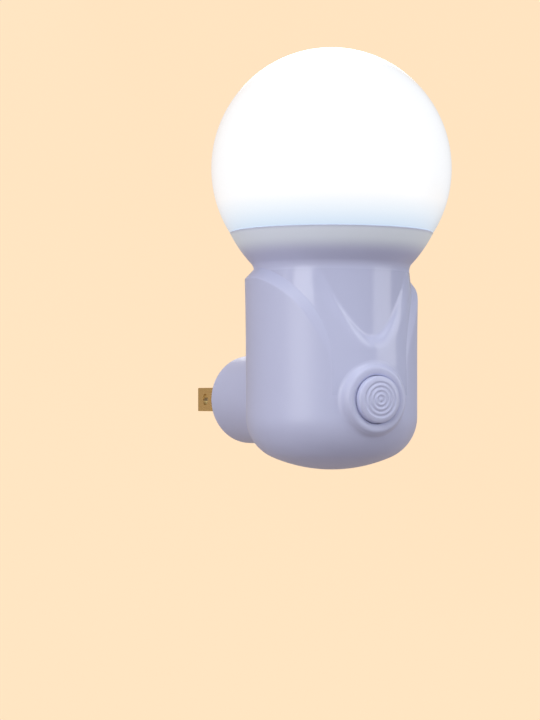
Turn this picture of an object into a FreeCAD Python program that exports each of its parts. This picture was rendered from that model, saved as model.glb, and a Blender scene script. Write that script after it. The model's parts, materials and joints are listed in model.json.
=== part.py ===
import FreeCAD, Part

import math
import os

from FreeCAD import Vector

# A night light that plugs straight into a wall socket. A frosted ball sits in a flared cup on a
# short round body, and the body turns on a plug barrel so that the ball stays upright whichever
# way the socket lies. A latching push button on the front switches it.
#
# The origin is the middle of the plug's wall face, on the axis that the body turns about. Y runs
# along that axis, out of the wall face and along the blades, so the button looks along -Y.
# Z is up and X is to the right when the button is in front. Lengths are in millimetres.

# Where the lamp stands
WALL_TO_AXIS = 44.0     # wall face to the upright axis of the ball and body

# Frosted ball
BALL_R = 30.0
BALL_WALL = 1.4
SKIRT_DEPTH = 2.2       # the ball's spigot inside the cup
SKIRT_WALL = 1.4
BEAD = 0.3              # snap bead on the spigot

# Cup and neck
RIM_R = 25.4            # where the ball meets the cup
RIM_Z = 41.6
NECK_IN = 2.0           # neck inside the body's side
NECK_Z = 33.0
NECK_WALL = 1.9
NECK_ROUND = 3.0        # rounding between the neck and the flare
CUP_WALL = 1.7
CUP_BULGE = 0.35        # how far the flare bows outwards
SEAT_WALL = 1.3         # wall left behind the tray's bore and the spigot's
TRAY_Z = 37.4           # ledge that the light tray lies on

# Body
BODY_R = 21.4
CORNER_Z = -4.3         # the straight side ends here
CORNER_R = 11.0
DOME_R = 37.0

# Relief on the body: a wrap with a raised collar, open down the front, over a vest with a V neck
WRAP_TOP_Z = 32.4
WRAP_LOW_Z = 9.0        # the wrap's front edges are upright below this
WRAP_FRONT_DEG = 29.5   # half the front opening, seen from the axis
WRAP_PEAK_DEG = 98.0    # where the edge has climbed to its full height
WRAP_ROUNDNESS = 1.95   # 2 would make the climbing edge an ellipse
WRAP_BEVEL = 2.4        # width of its sloping edge up at the collar
WRAP_BEVEL_LOW = 0.8    # and beside the front opening
WRAP_LIP = 0.35         # how far the collar stands out at its top
WRAP_LIP_Z = 12.0       # the wrap starts to lean outwards here
VEST_LOW_Z = 1.0        # the vest leaves the body's surface here
VEST_MID_Z = 16.0
VEST_MID_IN = 0.55      # how far in it is at that height
NOTCH_Z = 16.0          # the point of the V
NOTCH_RISE = 11.8       # height of the V at NOTCH_WIDE_DEG
NOTCH_WIDE_DEG = 30.0
NOTCH_POWER = 1.35      # 1 would give the V straight arms
NOTCH_BEVEL = 1.9       # width of its sloping edge
RELIEF_LAP = 0.3        # how far each layer reaches into the one below it

# Button and its surround
BUTTON_R = 5.8
BUTTON_OUT = 2.6        # middle of the button's face, ahead of the body's foremost line
BUTTON_SIDE_OUT = 0.7   # where its rounded edge turns into the straight side
BUTTON_CROWN = 0.35     # how far the face falls away to FACE_R
FACE_R = 4.65
BUTTON_WALL = 1.3
BUTTON_DEEP = 7.0
BUTTON_GAP = 0.15       # round the button
BUTTON_TRAVEL = 2.0
GUIDE_WALL = 2.2        # wall round the button's hole, inside the body
GUIDE_LONG = 1.8        # how far it reaches into the cavity
RING_COUNT = 4
RING_FIRST_R = 1.25
RING_PITCH = 1.1
RING_GROOVE_R = 0.24
SURROUND_R = 8.9
SURROUND_SHOULDER_R = 8.35
SURROUND_CREST_R = 7.3
SURROUND_OUT = 0.85     # crest of the surround, ahead of the body's foremost line
SURROUND_ROUND = 0.8    # height of its rounded shoulder
SURROUND_FALL = 0.45    # how far it falls away from the crest to the button's hole

# Latching switch
SWITCH_SIDE = 8.4
SWITCH_DEEP = 10.4
SWITCH_WALL = 1.0
STEM_SIDE = 3.0
STEM_BACK = 0.5         # tip of the stem, behind the end of the button's guide
STEM_GRIP = 3.2         # length of stem inside the button's socket
STEM_FIT = 0.06         # round the stem, in the button and in the case
SOCKET_WALL = 0.8
HEAD_SIDE = 5.6
HEAD_THICK = 2.0
SPRING_R = 1.7
SPRING_WIRE_R = 0.22
SPRING_TURNS = 5
PIN_R = 0.45
PIN_PITCH = 2.5
PIN_LONG = 3.2

# Driver board, upright behind the switch
BOARD_FRONT = 1.5       # its front face, behind the lamp's axis
BOARD_THICK = 1.6
BOARD_LOW_Z = -7.5
BOARD_TOP_Z = 27.0
BOARD_CHAMFER = 4.0
BOARD_GAP = 0.3         # board to the wall of the cavity
RAIL_GAP = 0.12
RAIL_THICK = 1.1
RAIL_REACH = 1.5        # how far a rail covers the board's edge
CRADLE_WIDE = 22.0

# Light tray, light board and its lamps
TRAY_THICK = 1.5
TRAY_GAP = 0.15
LIGHT_BOARD_R = 18.6
LIGHT_BOARD_THICK = 1.2
LEAD_HOLE_R = 3.4
CHIP_COUNT = 8
CHIP_RING_R = 11.0
CHIP_LONG = 3.5
CHIP_WIDE = 2.8
CHIP_THICK = 0.8
PILLAR_RING_R = 15.4
PILLAR_R = 2.6
PILLAR_LONG = 6.0
PILLAR_COUNT = 3
SCREW_R = 1.0
SCREW_LONG = 7.4        # under the head
SCREW_HEAD_R = 1.9
SCREW_HEAD = 1.3
SCREW_CLEAR = 0.2
THREAD_CLEAR = 0.05

# Plug and swivel
PLUG_R = 11.7
PLUG_WALL = 1.6
PLUG_EDGE = 0.5         # rounding of the barrel's edge at the wall
BOSS_OUT = 2.1          # the body's boss, behind the body's rearmost line
SWIVEL_GAP = 0.3        # boss to barrel
HUB_R = 8.0
HUB_WALL = 2.1
HUB_CLEAR = 0.08
SEAT_SPARE = 0.3        # the clip's edge to the wall of the cavity
CLIP_GAP = 0.2          # clip to the flat inside the body that it comes up to
CLIP_THICK = 0.8
CLIP_R = 9.5
CLIP_DEPTH = 1.0        # depth of the clip's groove
CLIP_OPEN_DEG = 70.0
HUB_TIP = 0.7           # hub beyond the clip
ORING_R = 0.55          # section of the friction ring
ORING_BACK = 4.0        # from the boss's face to the friction ring
STOP_R = 9.9            # middle of the stop's track
STOP_WIDE = 1.2
STOP_TALL = 1.2
STOP_HALF_DEG = 9.0
TURN_DEG = 90.0         # each way
STOP_SPARE_DEG = 1.5
TRACK_GAP = 0.2
PLATE_THICK = 2.2
PLATE_GAP = 0.05
PLATE_COLLAR = 3.8
LEDGE_WIDE = 0.9
LEDGE_THICK = 1.5
BLADE_PITCH = 12.7
BLADE_THICK = 1.5
BLADE_WIDE = 6.35
BLADE_OUT = 17.5
BLADE_IN = 8.5
BLADE_FIT = 0.04
BLADE_HOLE_R = 1.55
BLADE_HOLE_BACK = 5.0   # from the tip to the middle of the hole
BLADE_TIP = 1.2
WIRE_R = 0.7

# Slip rings and the springs that touch them
CARRIER_THICK = 2.6
CARRIER_GAP = 0.05
OUTER_RING_R = 4.6
INNER_RING_R = 1.9
SLIP_WIDE = 1.2
SLIP_THICK = 0.6
SLIP_PROUD = 0.3
RIVET_R = 0.5
TOUCH_GAP = 0.05
STRIP_THICK = 0.35
STRIP_WIDE = 2.2
STRIP_FOOT = 3.0
STRIP_TOE = 1.6
STRIP_SPREAD = 7.5      # from the upper spring's foot to the ring that it touches
STRIP_SPREAD_LOW = 2.4  # and the lower one's, whose foot stays on the board

# Parts on the driver board
FILM_CAP = (10.5, 6.0, 12.0)
FILM_CAP_AT = (-7.9, 15.0)      # from the board's side edge, and height
CAN_R = 4.0
CAN_LONG = 11.0
CAN_AT = (8.1, 15.0)
RECTIFIER = (4.8, 2.4, 4.0)
RECTIFIER_AT = (7.4, 6.0)
REGULATOR = (5.0, 1.6, 4.0)
REGULATOR_AT = (-7.4, 6.0)
RESISTOR = (3.2, 0.6, 1.6)
RESISTOR_AT = (-7.9, 14.0)
RESISTOR_STEP = 3.2
RESISTOR_COUNT = 3
FUSE_R = 1.6
FUSE_LONG = 8.0
FUSE_AT = (0.0, 22.5)
FUSE_LIFT = 2.6         # axis of the fusible resistor, off the board
FUSE_WIRE_R = 0.35
LEAD_FROM_Z = 22.0      # where the light board's leads leave the driver board
LEAD_X = 1.6
LEAD_AHEAD = 5.0        # how far ahead of the board they climb
LEAD_CLIMB = 9.0
LEAD_BEND = 1.0         # below the tray, where they turn upright
LEAD_ARCH = 4.2         # height of their arch over the light board
LEAD_LAND = 3.4         # from the tray's hole to where they land

# Worked out from those above
AXIS_Y = -WALL_TO_AXIS
NECK_R = BODY_R - NECK_IN
CAVITY_R = NECK_R - NECK_WALL
BODY_WALL = BODY_R - CAVITY_R
DOME_Z = CORNER_Z + math.sqrt((DOME_R - CORNER_R) ** 2 - (BODY_R - CORNER_R) ** 2)
BALL_Z = RIM_Z + math.sqrt(BALL_R**2 - RIM_R**2)
FLARE = (RIM_R - NECK_R) / (RIM_Z - NECK_Z)
SKIRT_LOW_Z = RIM_Z - SKIRT_DEPTH
BOSS_FACE = BODY_R + BOSS_OUT
BARREL_FRONT = BOSS_FACE + SWIVEL_GAP
BOARD_REAR = BOARD_FRONT + BOARD_THICK
BOARD_HALF = math.sqrt(CAVITY_R**2 - BOARD_REAR**2) - BOARD_GAP
BUTTON_FACE = -(BODY_R + BUTTON_OUT)
BUTTON_HOLE_R = BUTTON_R + BUTTON_GAP
GUIDE_R = BUTTON_HOLE_R + GUIDE_WALL
GUIDE_END = -(CAVITY_R - GUIDE_LONG)
STEM_TIP = GUIDE_END + STEM_BACK
HUB_SEAT = math.sqrt(CAVITY_R**2 - CLIP_R**2) - SEAT_SPARE
CLIP_BACK = HUB_SEAT - CLIP_GAP
CLIP_FRONT = CLIP_BACK - CLIP_THICK
HUB_FRONT = CLIP_FRONT - HUB_TIP
HUB_BORE_R = HUB_R - HUB_WALL
LIGHT_BOARD_Z = TRAY_Z + TRAY_THICK
LIGHT_TOP_Z = LIGHT_BOARD_Z + LIGHT_BOARD_THICK
SLIP_FACE = HUB_FRONT - SLIP_PROUD
STRIP_TIP = SLIP_FACE - TOUCH_GAP


def profile(steps, turn_about):
    """A face in the half plane beside an axis. A step is (radius, height), or two of these for
    a round stretch: a point halfway along the arc, then its end."""
    def place(p):
        return Vector(p[0], 0, p[1]) if turn_about == "Z" else Vector(p[0], p[1], 0)

    edges = []
    here = place(steps[0])
    for step in steps[1:] + steps[:1]:
        if isinstance(step[0], tuple):
            middle, end = place(step[0]), place(step[1])
            edges.append(Part.Arc(here, middle, end).toShape())
        else:
            end = place(step)
            edges.append(Part.LineSegment(here, end).toShape())
        here = end
    return Part.Face(Part.Wire(edges))


def turned(steps):
    """A solid turned about the lamp's upright axis, from (radius, height) steps."""
    return profile(steps, "Z").revolve(Vector(), Vector(0, 0, 1), 360)


def turned_level(steps):
    """A solid turned about the level swivel axis, from (radius, distance back) steps."""
    return profile(steps, "Y").revolve(Vector(), Vector(0, 1, 0), 360)


def rod(radius, front, back, x=0.0, z=0.0):
    """A round bar along Y."""
    return Part.makeCylinder(radius, back - front, Vector(x, front, z), Vector(0, 1, 0))


def post(radius, low, high, x=0.0, y=0.0):
    """A round bar along Z."""
    return Part.makeCylinder(radius, high - low, Vector(x, y, low))


def block(x, y, z):
    """A box between the two ends given on each axis."""
    corner = Vector(x[0], y[0], z[0])
    return Part.makeBox(x[1] - x[0], y[1] - y[0], z[1] - z[0], corner)


def on_lamp(shape):
    """Moves a shape from the lamp's own axis to its place in front of the wall."""
    shape.translate(Vector(0, AXIS_Y, 0))
    return shape


def arc_point(centre, radius, degrees):
    """A point of a circle in a profile."""
    a = math.radians(degrees)
    return (centre[0] + radius * math.cos(a), centre[1] + radius * math.sin(a))


def flare_r(z):
    """Radius of the cup's outside at a height, along the straight line from neck to rim."""
    return NECK_R + (z - NECK_Z) * FLARE


def rounded_bottom(inset):
    """Steps from the middle of the domed bottom to the straight side, this far inside it."""
    centre = (BODY_R - CORNER_R, CORNER_Z)
    meet = math.degrees(math.atan2(CORNER_Z - DOME_Z, BODY_R - CORNER_R))
    dome = (0.0, DOME_Z)
    halfway = (meet - 90) / 2
    return [
        (0.0, DOME_Z - DOME_R + inset),
        (arc_point(dome, DOME_R - inset, halfway), arc_point(dome, DOME_R - inset, meet)),
        (arc_point(centre, CORNER_R - inset, meet / 2), (BODY_R - inset, CORNER_Z)),
    ]


def neck_round():
    """The rounding between neck and flare: its lower end, its middle and its upper end."""
    tilt = math.atan(FLARE)
    leg = NECK_ROUND * math.tan(tilt / 2)
    centre = (NECK_R + NECK_ROUND, NECK_Z - leg)
    low = (NECK_R, NECK_Z - leg)
    high = (NECK_R + leg * math.sin(tilt), NECK_Z + leg * math.cos(tilt))
    return low, arc_point(centre, NECK_ROUND, 180 - math.degrees(tilt / 2)), high


def vest_steps():
    """The three points of the vest's outside, from the body's surface up to the neck."""
    return (BODY_R, VEST_LOW_Z), (BODY_R - VEST_MID_IN, VEST_MID_Z), neck_round()[0]


def vest_r(z):
    """The vest's radius at a height, on the circle through its three points."""
    circle = Part.Circle(*[Vector(r, 0, h) for r, h in vest_steps()])
    if z <= VEST_LOW_Z:
        return BODY_R
    z = min(z, neck_round()[0][1])
    return circle.Center.x + math.sqrt(circle.Radius**2 - (z - circle.Center.z) ** 2)


def wrap_r(z):
    """The wrap's radius at a height, with its collar leaning outwards."""
    share = max(0.0, (z - WRAP_LIP_Z) / (NECK_Z - WRAP_LIP_Z))
    return BODY_R + WRAP_LIP * min(share, 1.0) ** 1.7


def ruled(p, q):
    """The straight-lined surface between two curves, from each point of one to the point with
    the same mark on the other."""
    poles = [[a, b] for a, b in zip(p.getPoles(), q.getPoles())]
    surface = Part.BSplineSurface()
    surface.buildFromPolesMultsKnots(
        poles, p.getMultiplicities(), [2, 2], p.getKnots(), [0, 1], False, False, p.Degree, 1
    )
    return surface.toShape()


def relief_tools(edge_at, outer_r, width_at, degrees):
    """What is cut away above a sloping edge that runs round the body. edge_at(angle) gives the
    radius and height of the edge's foot. The slope runs outwards from there to outer_r(height),
    square to the edge and width_at(height) wide. A level strip on each side of it takes the cut
    right through the layer."""
    feet = [(math.radians(d), *edge_at(abs(d))) for d in degrees]
    rows = [[], [], [], []]
    for i, (a, r, z) in enumerate(feet):
        a0, r0, z0 = feet[max(i - 1, 0)]
        a1, r1, z1 = feet[min(i + 1, len(feet) - 1)]
        along, climb = (a1 - a0) * r, z1 - z0
        length = math.hypot(along, climb)
        width = width_at(z)
        shift, drop = width * climb / length / r, width * along / length
        rise = max(outer_r(z - drop) - r, 0.1)
        past = min(0.5 * RELIEF_LAP / rise, 0.5)
        inner = (r - past * rise, a - past * shift, z + past * drop)
        outer = (r + (1 + past) * rise, a + (1 + past) * shift, z - (1 + past) * drop)
        rows[0].append((NECK_R - 4 * RELIEF_LAP, *inner[1:]))
        rows[1].append(inner)
        rows[2].append(outer)
        rows[3].append((BODY_R + WRAP_LIP + 4 * RELIEF_LAP, *outer[1:]))
    marks = [0.0]
    for (a0, r0, z0), (a1, r1, z1) in zip(feet, feet[1:]):
        marks.append(marks[-1] + math.hypot((a1 - a0) * r0, z1 - z0))
    curves = []
    for row in rows:
        curve = Part.BSplineCurve()
        points = [Vector(r * math.sin(a), -r * math.cos(a), z) for r, a, z in row]
        curve.interpolate(Points=points, Parameters=marks)
        curves.append(curve)
    strips = [ruled(p, q) for p, q in zip(curves, curves[1:])]
    return [strip.extrude(Vector(0, 0, 4 * BALL_Z)) for strip in strips]


def wrap_edge(degrees):
    """A point of the wrap's edge: upright beside the front opening, then a quarter of a rounded
    square up to the collar, which is level round the back."""
    reach = WRAP_PEAK_DEG - WRAP_FRONT_DEG
    share = max(0.0, (WRAP_PEAK_DEG - degrees) / reach)
    if share < 1.0:
        climb = (1 - share**WRAP_ROUNDNESS) ** (1 / WRAP_ROUNDNESS)
        z = WRAP_LOW_Z + (WRAP_TOP_Z - WRAP_LOW_Z) * climb
    else:
        z = WRAP_LOW_Z - (WRAP_FRONT_DEG - degrees) * 3.0
    return vest_r(z), z


def wrap_width(z):
    """Width of the wrap's sloping edge, which narrows beside the front opening."""
    share = (z - WRAP_LOW_Z) / (WRAP_TOP_Z - WRAP_LOW_Z) * 2
    return WRAP_BEVEL_LOW + (WRAP_BEVEL - WRAP_BEVEL_LOW) * min(max(share, 0.0), 1.0)


def notch_width(z):
    """Width of the V neck's sloping edge."""
    return NOTCH_BEVEL


def notch_edge(degrees):
    """A point of the V neck's edge, on the neck's radius."""
    return NECK_R, NOTCH_Z + NOTCH_RISE * (degrees / NOTCH_WIDE_DEG) ** NOTCH_POWER


def wrap_angles():
    """Angles for the wrap's edge, closer together where it is steep."""
    reach = WRAP_PEAK_DEG - WRAP_FRONT_DEG
    count = 14
    climb = [WRAP_PEAK_DEG - reach * math.cos(math.pi / 2 * i / count) for i in range(count + 1)]
    below = [WRAP_FRONT_DEG * k for k in (0.2, 0.5, 0.75, 0.9)]
    past = 183.0
    level = [WRAP_PEAK_DEG + (past - WRAP_PEAK_DEG) * k for k in (0.2, 0.4, 0.6, 0.8, 1.0)]
    return below + climb + level


def body_outside():
    """The moulding's outside: domed bottom, neck and cup, then the vest and the wrap over them."""
    low, middle, high = neck_round()
    tilt = math.atan(FLARE)
    bow = ((high[0] + RIM_R) / 2 + CUP_BULGE * math.cos(tilt),
           (high[1] + RIM_Z) / 2 - CUP_BULGE * math.sin(tilt))
    core = turned(
        rounded_bottom(0.0)
        + [(BODY_R, VEST_LOW_Z), (NECK_R, VEST_LOW_Z), low, (middle, high)]
        + [(bow, (RIM_R, RIM_Z)), (0.0, RIM_Z)]
    )
    foot, waist, top = vest_steps()
    inner = NECK_R - RELIEF_LAP
    vest = turned([(inner, foot[1]), foot, (waist, top), (inner, top[1])])
    spread = 1.6 * NOTCH_WIDE_DEG
    across = [spread * (i / 12 - 1) for i in range(25)]
    vest = vest.cut(relief_tools(notch_edge, vest_r, notch_width, across))
    lean_z = (WRAP_LIP_Z + NECK_Z) / 2
    under = [(r - RELIEF_LAP, z) for r, z in (top, waist, foot)]
    wrap = turned(
        [
            (BODY_R - RELIEF_LAP, CORNER_Z),
            (BODY_R, CORNER_Z),
            (BODY_R, WRAP_LIP_Z),
            ((wrap_r(lean_z), lean_z), (wrap_r(NECK_Z), NECK_Z)),
            (inner, NECK_Z),
            under[0],
            (under[1], under[2]),
        ]
    )
    side = 2 * BODY_R
    right = wrap.common(block((0, side), (-side, side), (CORNER_Z - 1, NECK_Z + 1)))
    opening = BODY_R * math.sin(math.radians(0.6 * WRAP_FRONT_DEG))
    front = block((-1, opening), (-side, 0), (CORNER_Z - 1, NECK_Z + 1))
    right = right.cut(relief_tools(wrap_edge, wrap_r, wrap_width, wrap_angles()) + [front])
    left = right.mirror(Vector(), Vector(1, 0, 0))
    return core.fuse(vest).fuse([right, left])


def cup_bore(z):
    """Radius of the bores inside the cup that the tray and the ball's spigot sit in."""
    return flare_r(z) - SEAT_WALL


def cavity():
    """Room inside the body: the same dome set in, a straight bore that the driver board slides
    down, the flare, the tray's ledge and the bore for the ball's spigot."""
    slant = math.sqrt(1 + FLARE**2)
    low_z = NECK_Z + (CUP_WALL * slant - NECK_WALL) / FLARE
    ledge_r = flare_r(TRAY_Z) - CUP_WALL * slant
    spigot_r = cup_bore(SKIRT_LOW_Z)
    bead_z = (SKIRT_LOW_Z + RIM_Z) / 2
    shelf_z = LIGHT_BOARD_Z + 0.1
    return turned(
        rounded_bottom(BODY_WALL)
        + [
            (CAVITY_R, low_z),
            (ledge_r, TRAY_Z),
            (cup_bore(TRAY_Z), TRAY_Z),
            (cup_bore(TRAY_Z), shelf_z),
            (spigot_r, shelf_z),
            (spigot_r, bead_z - 2 * BEAD),
            (spigot_r + BEAD, bead_z),
            (spigot_r, bead_z + 2 * BEAD),
            (spigot_r, RIM_Z + 1.0),
            (0.0, RIM_Z + 1.0),
        ]
    )


def polar(radius, index, count, start=0.0):
    """A place on a circle about the lamp's axis, counted from the front."""
    a = math.radians(start + 360.0 * index / count)
    return radius * math.sin(a), -radius * math.cos(a)


def pillar_places():
    """Where the three tray screws go: clear of the driver board's two edges."""
    return [polar(PILLAR_RING_R, i, PILLAR_COUNT, 60.0) for i in range(PILLAR_COUNT)]


def surround():
    """The low bead round the button, rounded from its flank over to the button's hole."""
    crest = -(BODY_R + SURROUND_OUT)
    root = -BODY_R * math.cos(math.asin(SURROUND_R / BODY_R))
    back = root + 0.3 * BODY_WALL
    edge = crest + SURROUND_FALL
    return turned_level(
        [
            (0.0, back),
            (SURROUND_R, back),
            (SURROUND_R, root),
            (SURROUND_SHOULDER_R, crest + SURROUND_ROUND),
            ((SURROUND_CREST_R, crest), (BUTTON_HOLE_R, edge)),
            (0.0, edge),
        ]
    )


def stop_track():
    """The groove in the boss's face that the barrel's stop runs in."""
    half = TURN_DEG + STOP_HALF_DEG + STOP_SPARE_DEG
    wide = STOP_WIDE + 2 * TRACK_GAP
    return sector(wide, BOSS_FACE - STOP_TALL, BOSS_FACE + 1.0, half)


def sector(wide, front, back, half_degrees):
    """Part of a ring on the stop's radius, centred straight down."""
    ring = profile(
        [
            (STOP_R - wide / 2, front),
            (STOP_R + wide / 2, front),
            (STOP_R + wide / 2, back),
            (STOP_R - wide / 2, back),
        ],
        "Y",
    )
    ring.rotate(Vector(), Vector(0, 1, 0), 90 - half_degrees)
    return ring.revolve(Vector(), Vector(0, 1, 0), 2 * half_degrees)


def rails():
    """Two upright ribs each side that hold the driver board's edges, and the cradle under it."""
    found = []
    top = BOARD_TOP_Z - BOARD_CHAMFER
    outer = CAVITY_R + 0.4 * NECK_WALL
    keep = post(outer, DOME_Z - DOME_R, NECK_Z)
    for side in (-1, 1):
        x = sorted((side * (BOARD_HALF - RAIL_REACH), side * outer))
        for y in (
            (BOARD_FRONT - RAIL_GAP - RAIL_THICK, BOARD_FRONT - RAIL_GAP),
            (BOARD_REAR + RAIL_GAP, BOARD_REAR + RAIL_GAP + RAIL_THICK),
        ):
            found.append(block(x, y, (CORNER_Z, top)).common(keep))
    low = DOME_Z - DOME_R + 0.6 * BODY_WALL
    cradle_y = (BOARD_FRONT - RAIL_THICK, BOARD_REAR + RAIL_THICK)
    found.append(block((-CRADLE_WIDE / 2, CRADLE_WIDE / 2), cradle_y, (low, BOARD_LOW_Z)))
    return found


def pad(radius, front, back):
    """A round boss on the inside of the body, carried down to the bottom so that the moulding's
    core can be pulled out of the top."""
    low = DOME_Z - DOME_R + 0.5 * BODY_WALL
    disc = rod(radius, front, back)
    return disc.fuse(block((-radius, radius), (front, back), (low, 0.0)))


def body_shell():
    """Cup, neck and body in one moulding, with its bosses, rails and screw pillars."""
    outside = body_outside()
    shell = outside.cut(cavity())
    shell = shell.fuse(surround())
    inside = turned(rounded_bottom(0.4 * BODY_WALL) + [(BODY_R - 0.4 * BODY_WALL, NECK_Z)]
                    + [(0.0, NECK_Z)])
    reach = BODY_R
    shell = shell.fuse(pad(GUIDE_R, -reach, GUIDE_END).common(inside))
    shell = shell.fuse(pad(PLUG_R, HUB_SEAT, reach).common(inside))
    shell = shell.fuse(rod(PLUG_R, CAVITY_R, BOSS_FACE))
    shell = shell.cut(rod(BUTTON_HOLE_R, BUTTON_FACE - 1, 0))
    shell = shell.cut(rod(HUB_R + HUB_CLEAR, 0, BOSS_FACE + 1))
    shell = shell.cut(stop_track())
    for rib in rails():
        shell = shell.fuse(rib)
    for x, y in pillar_places():
        pillar = post(PILLAR_R, TRAY_Z - PILLAR_LONG, TRAY_Z, x, y)
        shell = shell.fuse(pillar.common(post(cup_bore(TRAY_Z), NECK_Z - PILLAR_LONG, TRAY_Z)))
        hole = post(SCREW_R + THREAD_CLEAR, LIGHT_TOP_Z - SCREW_LONG - 0.4, TRAY_Z + 1, x, y)
        shell = shell.cut(hole)
    return on_lamp(shell.removeSplitter())


def ball():
    """The frosted ball: a thin globe with a spigot that snaps into the cup."""
    centre = (0.0, BALL_Z)
    lip_z = RIM_Z + BALL_WALL
    spigot_r = cup_bore(SKIRT_LOW_Z) - 0.1
    throat_r = spigot_r - SKIRT_WALL
    inside = BALL_R - BALL_WALL
    bead_z = (SKIRT_LOW_Z + RIM_Z) / 2
    rim = math.degrees(math.atan2(RIM_Z - BALL_Z, RIM_R))
    lip = math.degrees(math.asin((lip_z - BALL_Z) / inside))
    return on_lamp(
        turned(
            [
                (0.0, BALL_Z + inside),
                (arc_point(centre, inside, (90 + lip) / 2), arc_point(centre, inside, lip)),
                (throat_r, lip_z),
                (throat_r, SKIRT_LOW_Z),
                (spigot_r, SKIRT_LOW_Z),
                (spigot_r, bead_z - 2 * BEAD),
                (spigot_r + BEAD, bead_z),
                (spigot_r, bead_z + 2 * BEAD),
                (spigot_r, RIM_Z),
                (RIM_R, RIM_Z),
                (arc_point(centre, BALL_R, (90 + rim) / 2), (0.0, BALL_Z + BALL_R)),
            ]
        )
    )


def light_tray():
    """White disc that closes the cup under the ball and carries the light board."""
    tray = post(cup_bore(TRAY_Z) - TRAY_GAP, TRAY_Z, LIGHT_BOARD_Z)
    tray = tray.cut(post(LEAD_HOLE_R, TRAY_Z - 1, LIGHT_BOARD_Z + 1))
    for x, y in pillar_places():
        tray = tray.cut(post(SCREW_R + SCREW_CLEAR, TRAY_Z - 1, LIGHT_BOARD_Z + 1, x, y))
    return on_lamp(tray)


def light_board():
    """Aluminium-backed disc that the lamps are soldered to."""
    board = post(LIGHT_BOARD_R, LIGHT_BOARD_Z, LIGHT_TOP_Z)
    board = board.cut(post(LEAD_HOLE_R, LIGHT_BOARD_Z - 1, LIGHT_TOP_Z + 1))
    for x, y in pillar_places():
        board = board.cut(post(SCREW_R + SCREW_CLEAR, LIGHT_BOARD_Z - 1, LIGHT_TOP_Z + 1, x, y))
    return on_lamp(board)


def lamp_chips():
    """The light-emitting chips, in a ring."""
    found = []
    for i in range(CHIP_COUNT):
        chip = block(
            (-CHIP_LONG / 2, CHIP_LONG / 2),
            (-CHIP_RING_R - CHIP_WIDE / 2, -CHIP_RING_R + CHIP_WIDE / 2),
            (LIGHT_TOP_Z, LIGHT_TOP_Z + CHIP_THICK),
        )
        chip.rotate(Vector(), Vector(0, 0, 1), 360.0 * (i + 0.5) / CHIP_COUNT)
        found.append(on_lamp(chip))
    return Part.makeCompound(found)


def tray_screws():
    """Three pan-head screws through the light board and tray into the cup's pillars."""
    found = []
    for x, y in pillar_places():
        shank = post(SCREW_R, LIGHT_TOP_Z - SCREW_LONG, LIGHT_TOP_Z, x, y)
        head = post(SCREW_HEAD_R, LIGHT_TOP_Z, LIGHT_TOP_Z + SCREW_HEAD, x, y)
        crown = head.Edges
        head = head.makeFillet(0.5 * SCREW_HEAD, [e for e in crown if top_edge(e, head)])
        slot = 0.35 * SCREW_HEAD_R
        for wide, deep in ((slot / 2, slot * 1.6), (slot * 1.6, slot / 2)):
            cross = block(
                (x - wide / 1.6, x + wide / 1.6),
                (y - deep / 1.6, y + deep / 1.6),
                (LIGHT_TOP_Z + 0.5 * SCREW_HEAD, LIGHT_TOP_Z + SCREW_HEAD + 1),
            )
            head = head.cut(cross)
        found.append(on_lamp(shank.fuse(head).removeSplitter()))
    return Part.makeCompound(found)


def top_edge(edge, shape):
    """Whether an edge lies all in a shape's top plane."""
    box = edge.BoundBox
    return box.ZMin > shape.BoundBox.ZMax - 1e-4


def button_cap():
    """The round button: a cup with ripples on its low-crowned face, and a socket behind it that
    grips the switch's stem."""
    inside = BUTTON_FACE + BUTTON_WALL
    skirt = BUTTON_FACE + BUTTON_DEEP
    socket_end = STEM_TIP + STEM_GRIP
    socket_half = STEM_SIDE / 2 + STEM_FIT
    socket_r = socket_half * math.sqrt(2) + SOCKET_WALL
    rim = BUTTON_FACE + BUTTON_CROWN
    side = -(BODY_R + BUTTON_SIDE_OUT)
    edge = (FACE_R + 0.72 * (BUTTON_R - FACE_R), rim + 0.3 * (side - rim))
    cap = turned_level(
        [
            (0.0, BUTTON_FACE),
            ((FACE_R / 2, BUTTON_FACE + BUTTON_CROWN / 4), (FACE_R, rim)),
            (edge, (BUTTON_R, side)),
            (BUTTON_R, skirt),
            (BUTTON_R - BUTTON_WALL, skirt),
            (BUTTON_R - BUTTON_WALL, inside),
            (socket_r, inside),
            (socket_r, socket_end),
            (0.0, socket_end),
        ]
    )
    square = (-socket_half, socket_half)
    cap = cap.cut(block(square, (STEM_TIP, socket_end + 1), square))
    for i in range(RING_COUNT):
        radius = RING_FIRST_R + i * RING_PITCH
        y = BUTTON_FACE + BUTTON_CROWN * (radius / FACE_R) ** 2
        cap = cap.cut(Part.makeTorus(radius, RING_GROOVE_R, Vector(0, y, 0), Vector(0, 1, 0)))
    return on_lamp(cap.removeSplitter())


def switch_front():
    """Front face of the switch's case."""
    return BOARD_FRONT - SWITCH_DEEP


def square_prism(side, front, back):
    """A square bar along Y, centred on the button's axis."""
    half = (-side / 2, side / 2)
    return block(half, (front, back), half)


def switch_case():
    """The switch's moulded case, open inside for the stem's head and the spring."""
    front = switch_front()
    case = square_prism(SWITCH_SIDE, front, BOARD_FRONT)
    room = SWITCH_SIDE - 2 * SWITCH_WALL
    case = case.cut(square_prism(room, front + SWITCH_WALL, BOARD_FRONT - SWITCH_WALL))
    case = case.cut(square_prism(STEM_SIDE + 2 * STEM_FIT, front - 1, front + SWITCH_WALL + 1))
    return on_lamp(case)


def head_front():
    """Front of the head on the stem, which the spring holds against the case's front wall."""
    return switch_front() + SWITCH_WALL + 0.1


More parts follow.
